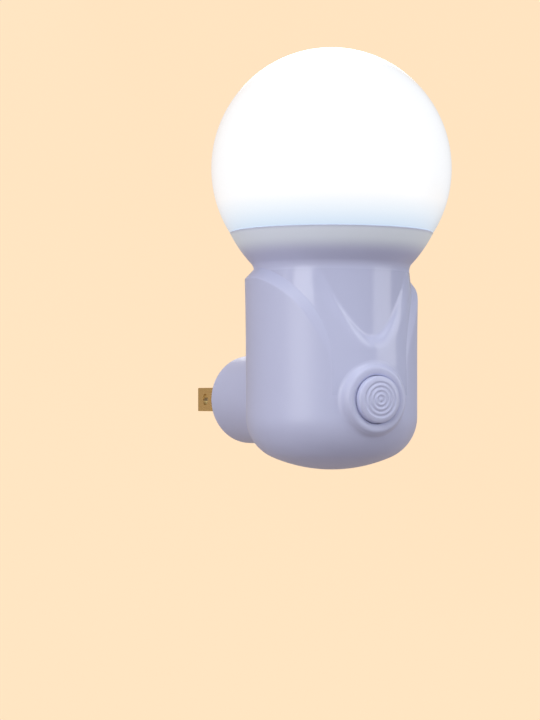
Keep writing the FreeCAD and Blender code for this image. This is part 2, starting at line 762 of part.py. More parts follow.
def switch_stem():
    """The switch's plunger: a square stem with a head that the spring pushes on."""
    stem = square_prism(STEM_SIDE, STEM_TIP, head_front() + 0.5 * HEAD_THICK)
    head = square_prism(HEAD_SIDE, head_front(), head_front() + HEAD_THICK)
    peg = rod(SPRING_R - SPRING_WIRE_R - 0.25, head_front(), head_front() + HEAD_THICK + 1.0)
    return on_lamp(stem.fuse(head).fuse(peg).removeSplitter())


def tangent_arc(start, corner, end):
    """The arc that is tangent to both legs of a corner with equal legs."""
    chord = (start + end) * 0.5
    half = start.distanceToPoint(end) / 2
    rise = corner - chord
    turn = math.atan2(rise.Length, half)
    middle = chord + rise.normalize() * (half * math.tan(turn / 2))
    return Part.Arc(start, middle, end).toShape()


def coil_point(radius, pitch, turns):
    """A point of a coil about the Y axis, and the coil's direction there."""
    a = 2 * math.pi * turns
    point = Vector(radius * math.cos(a), pitch * turns, radius * math.sin(a))
    climb = pitch / (2 * math.pi * radius)
    way = Vector(-math.sin(a), climb, math.cos(a)).normalize()
    return point, way


def switch_spring():
    """The coil spring behind the stem's head: one wire along pairs of arcs, a quarter turn each."""
    back = BOARD_FRONT - SWITCH_WALL - SPRING_WIRE_R - 0.05
    front = head_front() + HEAD_THICK + SPRING_WIRE_R + 0.05
    pitch = (back - front) / SPRING_TURNS
    edges = []
    quarters = 4 * SPRING_TURNS
    for i in range(quarters):
        p0, t0 = coil_point(SPRING_R, pitch, i / 4)
        p1, t1 = coil_point(SPRING_R, pitch, (i + 1) / 4)
        across, both = p1 - p0, t0 + t1
        a = both.dot(both) - 4
        b = -2 * across.dot(both)
        c = across.dot(across)
        leg = (-b - math.sqrt(b * b - 4 * a * c)) / (2 * a)
        legs = sorted(x for x in (leg, (-b + math.sqrt(b * b - 4 * a * c)) / (2 * a)) if x > 0)
        c0, c1 = p0 + t0 * legs[0], p1 - t1 * legs[0]
        meet = (c0 + c1) * 0.5
        edges.append(tangent_arc(p0, c0, meet))
        edges.append(tangent_arc(meet, c1, p1))
    start, way = coil_point(SPRING_R, pitch, 0)
    section = Part.Wire(Part.makeCircle(SPRING_WIRE_R, start, way))
    coil = Part.Wire(edges).makePipeShell([section], True, False)
    coil.translate(Vector(0, front, 0))
    print("spring gap", round(pitch - 2 * SPRING_WIRE_R, 2))
    return on_lamp(coil)


def pin_places():
    """The six pins of the switch, in two rows."""
    return [(side * PIN_PITCH, row * PIN_PITCH) for side in (-1, 1) for row in (-1, 0, 1)]


def switch_pins():
    """The switch's solder pins, through the driver board."""
    found = [rod(PIN_R, BOARD_FRONT, BOARD_FRONT + PIN_LONG, x, z) for x, z in pin_places()]
    return Part.makeCompound([on_lamp(pin) for pin in found])


def driver_board():
    """The upright board, with its two lower corners cut off to clear the rounded bottom."""
    half, cut = BOARD_HALF, BOARD_CHAMFER
    corners = [
        (-half, BOARD_TOP_Z),
        (-half, BOARD_LOW_Z + cut),
        (-half + cut, BOARD_LOW_Z),
        (half - cut, BOARD_LOW_Z),
        (half, BOARD_LOW_Z + cut),
        (half, BOARD_TOP_Z),
    ]
    outline = Part.makePolygon([Vector(x, BOARD_FRONT, z) for x, z in corners + corners[:1]])
    board = Part.Face(outline).extrude(Vector(0, BOARD_THICK, 0))
    for x, z in pin_places():
        board = board.cut(rod(PIN_R + 0.1, BOARD_FRONT - 1, BOARD_REAR + 1, x, z))
    return on_lamp(board)


def board_place(place):
    """Turns a distance in from the board's left or right edge, and a height, into x and z. A
    distance below zero is counted from the left edge."""
    inward, z = place
    return math.copysign(BOARD_HALF - abs(inward), inward), z


def on_board(size, place, behind):
    """A box on the driver board, on its rear face or its front one."""
    wide, deep, tall = size
    x, z = board_place(place)
    y = (BOARD_REAR, BOARD_REAR + deep) if behind else (BOARD_FRONT - deep, BOARD_FRONT)
    return block((x - wide / 2, x + wide / 2), y, (z - tall / 2, z + tall / 2))


def film_capacitor():
    """The dropper capacitor, a moulded box with rounded outer edges."""
    box = on_board(FILM_CAP, FILM_CAP_AT, False)
    return on_lamp(box.makeFillet(0.8, [e for e in box.Edges if away_from_board(e)]))


def away_from_board(edge):
    """Whether an edge lies all in the plane of a box's face that looks forwards."""
    return edge.BoundBox.YMax < BOARD_FRONT - FILM_CAP[1] + 1e-4


def smoothing_can():
    """The smoothing capacitor: a can with a crimped groove, standing out of the board."""
    x, z = board_place(CAN_AT)
    back, front = BOARD_FRONT, BOARD_FRONT - CAN_LONG
    groove = back - 1.8
    can = turned_level(
        [
            (0.0, front),
            (CAN_R - 0.5, front),
            (CAN_R, front + 0.5),
            (CAN_R, groove - 0.5),
            ((CAN_R - 0.4, groove), (CAN_R, groove + 0.5)),
            (CAN_R, back),
            (0.0, back),
        ]
    )
    can.translate(Vector(x, 0, z))
    return on_lamp(can)


def rectifier():
    """The bridge rectifier on the back of the board."""
    return on_lamp(on_board(RECTIFIER, RECTIFIER_AT, True))


def regulator():
    """The chip that holds the lamps' current steady."""
    return on_lamp(on_board(REGULATOR, REGULATOR_AT, True))


def chip_resistors():
    """Small flat resistors in a row."""
    x, z = RESISTOR_AT
    places = [(x, z + i * RESISTOR_STEP) for i in range(RESISTOR_COUNT)]
    return Part.makeCompound([on_lamp(on_board(RESISTOR, p, True)) for p in places])


def lead(points, radius):
    """A wire along straight runs joined by tangent arcs, each arc as large as its runs allow."""
    route = [Vector(*p) for p in points]
    edges = []
    here = route[0]
    radii = []
    for before, corner, after in zip(route, route[1:], route[2:]):
        run_in, run_out = corner - before, after - corner
        leg = 0.45 * min(run_in.Length, run_out.Length)
        half_turn = run_in.getAngle(run_out) / 2
        radii.append(leg / math.tan(half_turn))
        start = corner - Vector(run_in).normalize() * leg
        end = corner + Vector(run_out).normalize() * leg
        edges.append(Part.LineSegment(here, start).toShape())
        edges.append(tangent_arc(start, corner, end))
        here = end
    edges.append(Part.LineSegment(here, route[-1]).toShape())
    path = Part.Wire(edges)
    section = Part.Wire(Part.makeCircle(radius, route[0], route[1] - route[0]))
    wire = path.makePipeShell([section], True, False)
    exact = math.pi * radius**2 * path.Length
    print("wire", round(path.Length, 1), "mm, radii", [round(r, 1) for r in radii],
          "volume share", round(wire.Volume / exact, 3))
    return wire


def fuse_resistor():
    """The fusible resistor across the back of the board, with its leads bent down to it."""
    x, z = FUSE_AT
    y = BOARD_REAR + FUSE_LIFT
    half, out = FUSE_LONG / 2, FUSE_LONG / 2 + 2.4
    barrel = Part.makeCylinder(FUSE_R, FUSE_LONG, Vector(x - half, y, z), Vector(1, 0, 0))
    for side in (-1, 1):
        wire = lead(
            [
                (x + side * (half - 0.5), y, z),
                (x + side * out, y, z),
                (x + side * out, BOARD_REAR, z),
            ],
            FUSE_WIRE_R,
        )
        barrel = barrel.fuse(wire)
    return on_lamp(barrel.removeSplitter())


def light_lead(side):
    """One of the two leads that run up from the driver board, through the tray, and over on to
    the light board."""
    x = side * LEAD_X
    land = side * (LEAD_HOLE_R + LEAD_LAND)
    ahead = BOARD_FRONT - LEAD_AHEAD
    arch = LIGHT_TOP_Z + LEAD_ARCH
    return on_lamp(
        lead(
            [
                (x, BOARD_FRONT, LEAD_FROM_Z),
                (x, ahead, LEAD_FROM_Z),
                (x, ahead, LEAD_FROM_Z + LEAD_CLIMB),
                (x, 0.0, TRAY_Z - LEAD_BEND),
                (x, 0.0, arch),
                (land, 0.0, arch),
                (land, 0.0, LIGHT_TOP_Z),
            ],
            WIRE_R,
        )
    )


def plug_barrel():
    """The part that stays still in the socket: a hollow barrel, and a hub that turns in the
    body's boss, with grooves for the clip and the friction ring, and the stop."""
    inner = PLUG_R - PLUG_WALL
    ledge = inner - LEDGE_WIDE
    wall = AXIS_Y + BARREL_FRONT
    plate_back = -PLATE_THICK
    clip_front, clip_back = AXIS_Y + CLIP_FRONT, AXIS_Y + CLIP_BACK
    oring = AXIS_Y + BOSS_FACE - ORING_BACK
    groove = 1.5 * ORING_R
    edge = (PLUG_R - PLUG_EDGE, -PLUG_EDGE)
    barrel = turned_level(
        [
            (HUB_BORE_R, AXIS_Y + HUB_FRONT),
            (HUB_R - 0.4, AXIS_Y + HUB_FRONT),
            (HUB_R, AXIS_Y + HUB_FRONT + 0.4),
            (HUB_R, clip_front - 0.05),
            (HUB_R - CLIP_DEPTH, clip_front - 0.05),
            (HUB_R - CLIP_DEPTH, clip_back + 0.05),
            (HUB_R, clip_back + 0.05),
            (HUB_R, oring - groove),
            (HUB_R - 2 * ORING_R - 0.05, oring - groove),
            (HUB_R - 2 * ORING_R - 0.05, oring + groove),
            (HUB_R, oring + groove),
            (HUB_R, wall),
            (PLUG_R - 0.3, wall),
            (PLUG_R, wall + 0.3),
            (PLUG_R, -PLUG_EDGE),
            (arc_point(edge, PLUG_EDGE, 45), (PLUG_R - PLUG_EDGE, 0.0)),
            (inner, 0.0),
            (inner, plate_back),
            (ledge, plate_back),
            (ledge, plate_back - LEDGE_THICK),
            (inner, plate_back - LEDGE_THICK - LEDGE_WIDE),
            (inner, wall + PLUG_WALL),
            (HUB_BORE_R, wall + PLUG_WALL),
        ]
    )
    top = BARREL_FRONT - STOP_TALL
    stop = sector(STOP_WIDE, top, BARREL_FRONT + 0.5, STOP_HALF_DEG)
    return barrel.fuse(on_lamp(stop)).removeSplitter()


def swivel_clip():
    """The open ring that snaps into the hub's groove and keeps the plug in the body."""
    ring = rod(CLIP_R, CLIP_FRONT, CLIP_BACK)
    ring = ring.cut(rod(HUB_R - CLIP_DEPTH + 0.05, CLIP_FRONT - 1, CLIP_BACK + 1))
    half = math.radians(CLIP_OPEN_DEG / 2)
    far = 2 * CLIP_R
    corners = [
        Vector(0, CLIP_FRONT - 1, 0),
        Vector(-far * math.sin(half), CLIP_FRONT - 1, far * math.cos(half)),
        Vector(far * math.sin(half), CLIP_FRONT - 1, far * math.cos(half)),
    ]
    wedge = Part.Face(Part.makePolygon(corners + corners[:1])).extrude(Vector(0, CLIP_THICK + 2, 0))
    return on_lamp(ring.cut(wedge))


def friction_ring():
    """The rubber ring on the hub that holds the body where it is turned to."""
    at = Vector(0, BOSS_FACE - ORING_BACK, 0)
    return on_lamp(Part.makeTorus(HUB_R - ORING_R, ORING_R, at, Vector(0, 1, 0)))


def blade_slot(x, front, back, spare):
    """Room for one blade, or the blade's own bar with nothing spare."""
    half_thick, half_wide = BLADE_THICK / 2 + spare, BLADE_WIDE / 2 + spare
    return block((x - half_thick, x + half_thick), (front, back), (-half_wide, half_wide))


def pin_plate():
    """The disc in the barrel's end that faces the wall and carries the two blades."""
    inner = PLUG_R - PLUG_WALL
    plate = rod(inner - PLATE_GAP, -PLATE_THICK, 0)
    collar_r = inner - LEDGE_WIDE - PLATE_GAP
    plate = plate.fuse(rod(collar_r, -PLATE_THICK - PLATE_COLLAR, -PLATE_THICK))
    for side in (-1, 1):
        plate = plate.cut(blade_slot(side * BLADE_PITCH / 2, -BLADE_IN - 1, 1, BLADE_FIT))
    return plate.removeSplitter()


def blade(side):
    """One flat blade, with a tapered tip and a hole near it."""
    x = side * BLADE_PITCH / 2
    bar = blade_slot(x, -BLADE_IN, BLADE_OUT, 0.0)
    tip = [e for e in bar.Edges if e.BoundBox.YMin > BLADE_OUT - 1e-4]
    bar = bar.makeChamfer(0.35 * BLADE_THICK, tip)
    sides = [e for e in bar.Edges if abs(e.BoundBox.XLength - BLADE_THICK) < 1e-4
             and e.BoundBox.YMin > BLADE_OUT - BLADE_THICK and e.BoundBox.YLength < 1e-4]
    if sides:
        bar = bar.makeFillet(BLADE_TIP, sides)
    hole = Part.makeCylinder(
        BLADE_HOLE_R,
        3 * BLADE_THICK,
        Vector(x - 1.5 * BLADE_THICK, BLADE_OUT - BLADE_HOLE_BACK, 0),
        Vector(1, 0, 0),
    )
    return bar.cut(hole)


def plug_lead(side, ring_r):
    """The wire from a blade's tail, through the hub, to its slip ring."""
    blade_x, ring_x = side * BLADE_PITCH / 2, side * ring_r
    end = AXIS_Y + HUB_FRONT + CARRIER_THICK
    enter = AXIS_Y + BARREL_FRONT + PLUG_WALL
    return lead(
        [
            (blade_x, -BLADE_IN, 0.0),
            (blade_x, (-BLADE_IN + enter) / 2, 0.0),
            (ring_x, enter, 0.0),
            (ring_x, end, 0.0),
        ],
        WIRE_R,
    )


def slip_ring(side, radius):
    """A brass ring in the carrier's face, with a rivet through to its wire."""
    ring = rod(radius + SLIP_WIDE / 2, SLIP_FACE, SLIP_FACE + SLIP_THICK)
    ring = ring.cut(rod(radius - SLIP_WIDE / 2, SLIP_FACE - 1, SLIP_FACE + SLIP_THICK + 1))
    rivet = rod(RIVET_R, SLIP_FACE + SLIP_THICK / 2, HUB_FRONT + CARRIER_THICK, side * radius)
    return on_lamp(ring.fuse(rivet).removeSplitter())


def ring_carrier():
    """The insulating disc in the end of the hub that holds both slip rings."""
    disc = rod(HUB_BORE_R - CARRIER_GAP, HUB_FRONT, HUB_FRONT + CARRIER_THICK)
    deep = SLIP_FACE + SLIP_THICK + 0.02
    for side, radius in ((1, OUTER_RING_R), (-1, INNER_RING_R)):
        groove = rod(radius + SLIP_WIDE / 2 + 0.03, HUB_FRONT - 1, deep)
        groove = groove.cut(rod(radius - SLIP_WIDE / 2 - 0.03, HUB_FRONT - 1, deep))
        disc = disc.cut(groove)
        disc = disc.cut(rod(RIVET_R + 0.03, HUB_FRONT, HUB_FRONT + CARRIER_THICK + 1, side * radius))
    return on_lamp(disc)


def contact_spring(side, radius, spread):
    """A bent brass strip on the driver board whose toe rubs on a slip ring."""
    toe_z = side * radius
    foot_z = side * (radius + spread)
    spine = [
        (BOARD_REAR + STRIP_THICK / 2, foot_z + side * STRIP_FOOT),
        (BOARD_REAR + STRIP_THICK / 2, foot_z),
        (STRIP_TIP - STRIP_THICK / 2, toe_z + side * STRIP_TOE / 2),
        (STRIP_TIP - STRIP_THICK / 2, toe_z - side * STRIP_TOE / 2),
    ]
    left, right = [], []
    for i, (y, z) in enumerate(spine):
        before = spine[max(i - 1, 0)]
        after = spine[min(i + 1, len(spine) - 1)]
        into = math.atan2(y - before[0], z - before[1])
        away = math.atan2(after[0] - y, after[1] - z)
        into = away if i == 0 else into
        away = into if i == len(spine) - 1 else away
        turn = (away - into + math.pi) % (2 * math.pi) - math.pi
        heading = into + turn / 2
        reach = STRIP_THICK / 2 / math.cos(turn / 2)
        left.append((y + reach * math.cos(heading), z - reach * math.sin(heading)))
        right.append((y - reach * math.cos(heading), z + reach * math.sin(heading)))
    outline = [Vector(-STRIP_WIDE / 2, y, z) for y, z in left + right[::-1]]
    strip = Part.Face(Part.makePolygon(outline + outline[:1])).extrude(Vector(STRIP_WIDE, 0, 0))
    return on_lamp(strip)


def all_parts():
    """Every sub-part by its name."""
    return {
        "body_shell": body_shell(),
        "ball_diffuser": ball(),
        "light_tray": light_tray(),
        "light_board": light_board(),
        "lamp_chips": lamp_chips(),
        "tray_screws": tray_screws(),
        "button_cap": button_cap(),
        "switch_case": switch_case(),
        "switch_stem": switch_stem(),
        "switch_spring": switch_spring(),
        "switch_pins": switch_pins(),
        "driver_board": driver_board(),
        "film_capacitor": film_capacitor(),
        "smoothing_can": smoothing_can(),
        "rectifier": rectifier(),
        "regulator_chip": regulator(),
        "chip_resistors": chip_resistors(),
        "fuse_resistor": fuse_resistor(),
        "light_lead_red": light_lead(1),
        "light_lead_black": light_lead(-1),
        "plug_barrel": plug_barrel(),
        "pin_plate": pin_plate(),
        "blade_live": blade(1),
        "blade_neutral": blade(-1),
        "plug_lead_live": plug_lead(1, OUTER_RING_R),
        "plug_lead_neutral": plug_lead(-1, INNER_RING_R),
        "swivel_clip": swivel_clip(),
        "friction_ring": friction_ring(),
        "ring_carrier": ring_carrier(),
        "slip_ring_live": slip_ring(1, OUTER_RING_R),
        "slip_ring_neutral": slip_ring(-1, INNER_RING_R),
        "contact_spring_live": contact_spring(1, OUTER_RING_R, STRIP_SPREAD),
        "contact_spring_neutral": contact_spring(-1, INNER_RING_R, STRIP_SPREAD_LOW),
    }


os.makedirs("parts", exist_ok=True)
for name, shape in all_parts().items():
    solids = shape.Solids
    print(name, len(solids), "valid", shape.isValid(), "volume", round(shape.Volume, 1))
    shape.exportStep(f"parts/{name}.step")
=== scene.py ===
# %% [markdown]
# # A plug-in night light
# This lesson dresses a measured model of a small night light: a frosted ball in a flared cup, on
# a short round body with a push button, which turns on the barrel of its plug. The measured model
# comes in first as a fixed frame, in metres. Everything that is made here is fitted to it, and
# stands for one of its solids.

# %% Load the frame
import json
import math

import bmesh
import bpy
import numpy as np
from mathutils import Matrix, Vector


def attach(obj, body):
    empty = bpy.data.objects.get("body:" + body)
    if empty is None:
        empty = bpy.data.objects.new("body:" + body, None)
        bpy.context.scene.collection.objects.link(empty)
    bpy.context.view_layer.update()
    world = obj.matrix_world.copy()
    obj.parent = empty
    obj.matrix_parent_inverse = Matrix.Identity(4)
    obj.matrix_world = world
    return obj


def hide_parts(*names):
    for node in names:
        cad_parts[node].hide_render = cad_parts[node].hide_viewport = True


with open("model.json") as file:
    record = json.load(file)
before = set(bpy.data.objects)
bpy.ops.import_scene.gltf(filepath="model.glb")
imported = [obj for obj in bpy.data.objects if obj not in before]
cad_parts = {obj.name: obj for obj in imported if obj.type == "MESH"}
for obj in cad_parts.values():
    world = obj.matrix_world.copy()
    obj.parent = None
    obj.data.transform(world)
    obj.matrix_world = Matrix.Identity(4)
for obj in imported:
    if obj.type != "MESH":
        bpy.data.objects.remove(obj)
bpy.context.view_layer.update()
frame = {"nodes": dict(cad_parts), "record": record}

nodes = frame["nodes"]

# %% [markdown]
# ## Sizes
# The three pieces that the eye rests on are made again, finer and with softer edges than a solid
# needs: the moulded housing, the ball and the button. A small set of sizes in millimetres, the
# same ones that the solids use, keeps both versions in step. Height is counted from the plug's
# axis, depth from the lamp's own upright axis, and angles round that axis from the front.

# %% Sizes
MM = 0.001
AXIS_Y = -44.0
BODY_R, BODY_WALL, NECK_R, CAVITY_R = 21.4, 3.9, 19.4, 17.5
BALL_R, BALL_WALL = 30.0, 1.4
RIM_R, RIM_Z, NECK_Z = 25.4, 41.6, 33.0
CORNER_R, CORNER_Z, DOME_R = 11.0, -4.3, 37.0
CORNER_MIDDLE_R = BODY_R - CORNER_R
DOME_Z = CORNER_Z + math.sqrt((DOME_R - CORNER_R) ** 2 - CORNER_MIDDLE_R**2)
BALL_Z = RIM_Z + math.sqrt(BALL_R**2 - RIM_R**2)
TILT = math.atan((RIM_R - NECK_R) / (RIM_Z - NECK_Z))
print("ball centre at", round(BALL_Z, 2), "mm, cup leans", round(math.degrees(TILT), 1), "degrees")

# %% [markdown]
# ## Sheets of points
# A smooth surface is a sheet of points laid out in rows and columns. numpy works out a whole
# sheet at once, and its faces follow from counting. Adding points one by one in a Python loop
# would give the same mesh, but it would be slower and the shape's formula would be hard to see.

# %% Helpers for sheets
def sheet_faces(rows, cols, start):
    """The corners of every face of a sheet: a point, its neighbour in the row, and the two points
    above them. Point (row, column) has the number start + row times cols + column."""
    row, col = np.meshgrid(np.arange(rows - 1), np.arange(cols - 1), indexing="ij")
    corner = (start + row * cols + col).ravel()
    return np.stack([corner, corner + 1, corner + 1 + cols, corner + cols], axis=1)


def arc(centre, radius, first, last, count):
    """Points on an arc between two angles in degrees: the centre plus the radius times the cosine
    and the sine of each angle."""
    angle = np.radians(np.linspace(first, last, count))
    return np.stack([centre[0] + radius * np.cos(angle), centre[1] + radius * np.sin(angle)], axis=1)


def points_at(radius, angle, height):
    """Points on the right half of the lamp: (radius sin angle, axis - radius cos angle, height)."""
    radius, angle, height = np.broadcast_arrays(radius, angle, height)
    return np.stack([radius * np.sin(angle), AXIS_Y - radius * np.cos(angle), height], axis=-1)


print("a sheet of 3 by 3 points has", len(sheet_faces(3, 3, 0)), "faces")

# %% [markdown]
# ## From sheets to one mesh
# A moulding is one closed skin, so the sheets that share an edge are welded where their points
# meet. A closed skin also tells Blender which way is out. The shading is smooth, apart from the
# edges that turn by more than a set angle, where a mould has a true edge.

# %% One object from many sheets
WELD, SLIVER, CREASE = 5e-7, 1e-7, math.radians(38.0)


def piece(name, sheets, body, stands_for, strips=()):
    """One mesh object from sheets of points and strips of triangles, in millimetres. It rides on
    a body of the frame and stands for one of its solids."""
    points, faces, start = [], [], 0
    for sheet in sheets:
        rows, cols = sheet.shape[:2]
        points.append(sheet.reshape(-1, 3))
        faces += sheet_faces(rows, cols, start).tolist()
        start += rows * cols
    for strip in strips:
        points.append(strip.reshape(-1, 3))
        faces += (start + np.arange(len(strip) * 3).reshape(-1, 3)).tolist()
        start += len(strip) * 3
    mesh = bpy.data.meshes.new(name)
    mesh.from_pydata((np.concatenate(points) * MM).tolist(), [], faces)
    work = bmesh.new()
    work.from_mesh(mesh)
    bmesh.ops.remove_doubles(work, verts=work.verts, dist=WELD)
    bmesh.ops.dissolve_degenerate(work, edges=work.edges, dist=SLIVER)
    bmesh.ops.recalc_face_normals(work, faces=work.faces)
    open_edges = sum(edge.is_boundary for edge in work.edges)
    work.to_mesh(mesh)
    work.free()
    mesh.polygons.foreach_set("use_smooth", np.ones(len(mesh.polygons), bool))
    mesh.set_sharp_from_angle(angle=CREASE)
    made = bpy.data.objects.new(name, mesh)
    bpy.context.scene.collection.objects.link(made)
    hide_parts(stands_for)
    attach(made, body)
    print(name, "faces", len(mesh.polygons), "open edges", open_edges)
    return made


# %% [markdown]
# ## The housing's outline
# The housing is a round moulding, so most of it is one outline turned about the upright axis: a
# domed bottom, a corner, a straight side, a lower layer that draws in a little towards the neck,
# the rounding into the cup, and the rim. It could be drawn as a curve and spun. Written instead
# as a radius for each height, it can be asked for anywhere, and the relief can be laid on it.

# %% The housing's outline
VEST_LOW_Z, VEST_MID_Z, VEST_MID_IN = 1.0, 16.0, 0.55
ROUND_R = 3.0
ROUND_REACH = ROUND_R * math.tan(TILT / 2)
ROUND_LOW_Z = NECK_Z - ROUND_REACH
ROUND_HIGH_Z = NECK_Z + ROUND_REACH * math.cos(TILT)
ROUND_HIGH_R = NECK_R + ROUND_REACH * math.sin(TILT)
CUP_BULGE = 0.35


def circle_through(a, b, c):
    """Centre and radius of the circle through three (radius, height) points. The centre is as far
    from each of them, which gives two straight equations."""
    rows = 2 * np.array([[b[0] - a[0], b[1] - a[1]], [c[0] - a[0], c[1] - a[1]]])
    start = a[0] ** 2 + a[1] ** 2
    centre = np.linalg.solve(rows, np.array([b[0]**2 + b[1]**2 - start, c[0]**2 + c[1]**2 - start]))
    return centre, math.dist(centre, a)


vest_middle = (BODY_R - VEST_MID_IN, VEST_MID_Z)
vest_centre, vest_arc = circle_through((BODY_R, VEST_LOW_Z), vest_middle, (NECK_R, ROUND_LOW_Z))
cup_middle = ((ROUND_HIGH_R + RIM_R) / 2 + CUP_BULGE * math.cos(TILT),
              (ROUND_HIGH_Z + RIM_Z) / 2 - CUP_BULGE * math.sin(TILT))
cup_centre, cup_arc = circle_through((ROUND_HIGH_R, ROUND_HIGH_Z), cup_middle, (RIM_R, RIM_Z))
cup_side = np.sign(RIM_R - cup_centre[0])


def half_chord(radius, offset):
    """How far a circle of this radius reaches sideways at an offset from its centre."""
    return np.sqrt(np.maximum(radius**2 - offset**2, 0))


def outline(height):
    """Radius at each height: the corner's arc, the straight side, the vest's arc, the rounding's
    arc and the cup's arc, each where its own stretch of height is."""
    height = np.asarray(height, float)
    corner = CORNER_MIDDLE_R + half_chord(CORNER_R, height - CORNER_Z)
    vest = vest_centre[0] + half_chord(vest_arc, height - vest_centre[1])
    rounding = NECK_R + ROUND_R - half_chord(ROUND_R, height - ROUND_LOW_Z)
    cup = cup_centre[0] + half_chord(cup_arc, height - cup_centre[1]) * cup_side
    stretches = [height < CORNER_Z, height < VEST_LOW_Z, height < ROUND_LOW_Z, height < ROUND_HIGH_Z]
    return np.select(stretches, [corner, BODY_R, vest, rounding], cup)


print("radius at the neck", round(float(outline(ROUND_LOW_Z)), 2), "and at the rim", RIM_R)

# %% [markdown]
# ## The wrap's edge
# Two layers lie on the housing like folded cloth. The outer one wraps round the back and sides and
# is open down the front. Its edge rises straight beside the opening, then climbs to the back along
# a quarter of a rounded square. A texture could only suggest this step, and cutting it into a
# finished mesh leaves ragged corners. So the rows and columns of the sheets follow the edge
# itself, which keeps its crease clean.

# %% The wrap's edge
WRAP_LOW_Z, WRAP_TOP_Z = 9.0, 32.4
WRAP_FRONT, WRAP_PEAK = math.radians(29.5), math.radians(98.0)
WRAP_REACH, WRAP_RISE = WRAP_PEAK - WRAP_FRONT, WRAP_TOP_Z - WRAP_LOW_Z
WRAP_ROUNDNESS = 1.95
WRAP_LIP, WRAP_LIP_Z, WRAP_LIP_POWER = 0.35, 12.0, 1.7
SIDE_LOW_Z = -13.4
CORNER_ROWS, SIDE_ROWS, CLIMB_ROWS, LEVEL_COLS = 15, 31, 105, 41


def wrap_outline(height):
    """The wrap's radius: the body's, leaning outwards by a power of the height above its lip."""
    share = np.clip((height - WRAP_LIP_Z) / (NECK_Z - WRAP_LIP_Z), 0, 1)
    return np.where(height < CORNER_Z, outline(height), BODY_R + WRAP_LIP * share**WRAP_LIP_POWER)


corner_turn = np.linspace(math.asin((CORNER_Z - SIDE_LOW_Z) / CORNER_R), 0, CORNER_ROWS)
upright = np.concatenate([CORNER_Z - CORNER_R * np.sin(corner_turn),
                          np.linspace(CORNER_Z, WRAP_LOW_Z, SIDE_ROWS)[1:]])
swing = np.linspace(0, math.pi / 2, CLIMB_ROWS)[1:]
climb_angle = WRAP_PEAK - WRAP_REACH * np.cos(swing) ** (2 / WRAP_ROUNDNESS)
climb_z = WRAP_LOW_Z + WRAP_RISE * np.sin(swing) ** (2 / WRAP_ROUNDNESS)
level_angle = np.linspace(WRAP_PEAK, math.pi, LEVEL_COLS)[1:]
foot_angle = np.concatenate([np.full(len(upright), WRAP_FRONT), climb_angle, level_angle])
foot_z = np.concatenate([upright, climb_z, np.full(len(level_angle), WRAP_TOP_Z)])
climb_start, climb_end = len(upright), len(upright) + len(climb_angle)
print("points along the foot of the wrap's edge:", len(foot_z))

# %% [markdown]
# ## The slope of the edge
# The edge isn't a step but a slope, as a mould needs to let go of the part. It is a narrow sheet
# between its foot on the lower layer and a line on the wrap, square to the edge, and it narrows
# beside the front opening. Its height is the lower of the slope and the wrap, with the corner
# between them rounded. That is simpler than a bevel, which would need one even width.

# %% The slope of the edge
SLOPE_WIDE, SLOPE_NARROW, SLOPE_SOFT = 2.4, 0.8, 0.16
SLOPE_SHARES = np.array([0, .1, .22, .36, .5, .64, .76, .86, .94, 1.0, 1.06, 1.14, 1.24, 1.36])


def ease(share):
    """A share from 0 to 1 with a soft start and end: share squared times 3 minus twice share."""
    return share**2 * (3 - 2 * share)


def lower_of(first, second, soft):
    """The lower of two heights. Within the soft distance of each other their corner is rounded, by
    taking away a quarter of the soft distance times the nearness squared."""
    near = np.maximum(soft - np.abs(first - second), 0) / soft
    return np.minimum(first, second) - near**2 * soft / 4


along_angle, along_z = np.gradient(foot_angle) * BODY_R, np.gradient(foot_z)
along_angle[:climb_start], along_z[:climb_start] = 0.0, 1.0
along_angle[climb_end:], along_z[climb_end:] = 1.0, 0.0
length = np.hypot(along_angle, along_z)
widening = ease(np.clip((foot_z - WRAP_LOW_Z) / WRAP_RISE * 2, 0, 1))
wide = SLOPE_NARROW + (SLOPE_WIDE - SLOPE_NARROW) * widening
edge_angle = foot_angle[:, None] + SLOPE_SHARES * (wide * along_z / length / BODY_R)[:, None]
edge_z = foot_z[:, None] - SLOPE_SHARES * (wide * along_angle / length)[:, None]
edge_angle = np.minimum(edge_angle, math.pi)
edge_angle[-1] = math.pi
foot_r = outline(foot_z)[:, None]
crest_r = wrap_outline(foot_z - wide * along_angle / length)[:, None]
slope_r = lower_of(foot_r + (crest_r - foot_r) * SLOPE_SHARES, wrap_outline(edge_z), SLOPE_SOFT)
edge_r = np.where(SLOPE_SHARES == 0, foot_r, slope_r)
edge_r[:, -1] = wrap_outline(edge_z[:, -1])
edge_r = np.where(foot_z[:, None] <= VEST_LOW_Z, outline(edge_z), edge_r)
edge_sheet = points_at(edge_r, edge_angle, edge_z)
print("edge sheet", edge_sheet.shape[:2])

# %% [markdown]
# ## The wrap itself
# The rest of the wrap is one sheet below the edge. Its columns hang from the points of the edge
# and its rows share out the height between them, so it meets the edge sheet point for point.

# %% The wrap's sheet
top_angle, top_z = edge_angle[climb_start - 1:, -1], edge_z[climb_start - 1:, -1]
row_share = (upright - SIDE_LOW_Z) / (WRAP_LOW_Z - SIDE_LOW_Z)
wrap_z = SIDE_LOW_Z + row_share[:, None] * (top_z - SIDE_LOW_Z)
wrap_sheet = points_at(wrap_outline(wrap_z), top_angle, wrap_z)
print("wrap sheet", wrap_sheet.shape[:2])

# %% [markdown]
# ## The front with its V neck
# The lower layer shows down the front, and has a V neck of its own. The front sheet lies between
# the middle line and the foot of the wrap's edge, and each row is at the height of one point of
# that foot. The V is soft, so the rows needn't follow it: it is a dip in the radius, worked out
# from the distance to the V's arms. More columns run where the arms are.

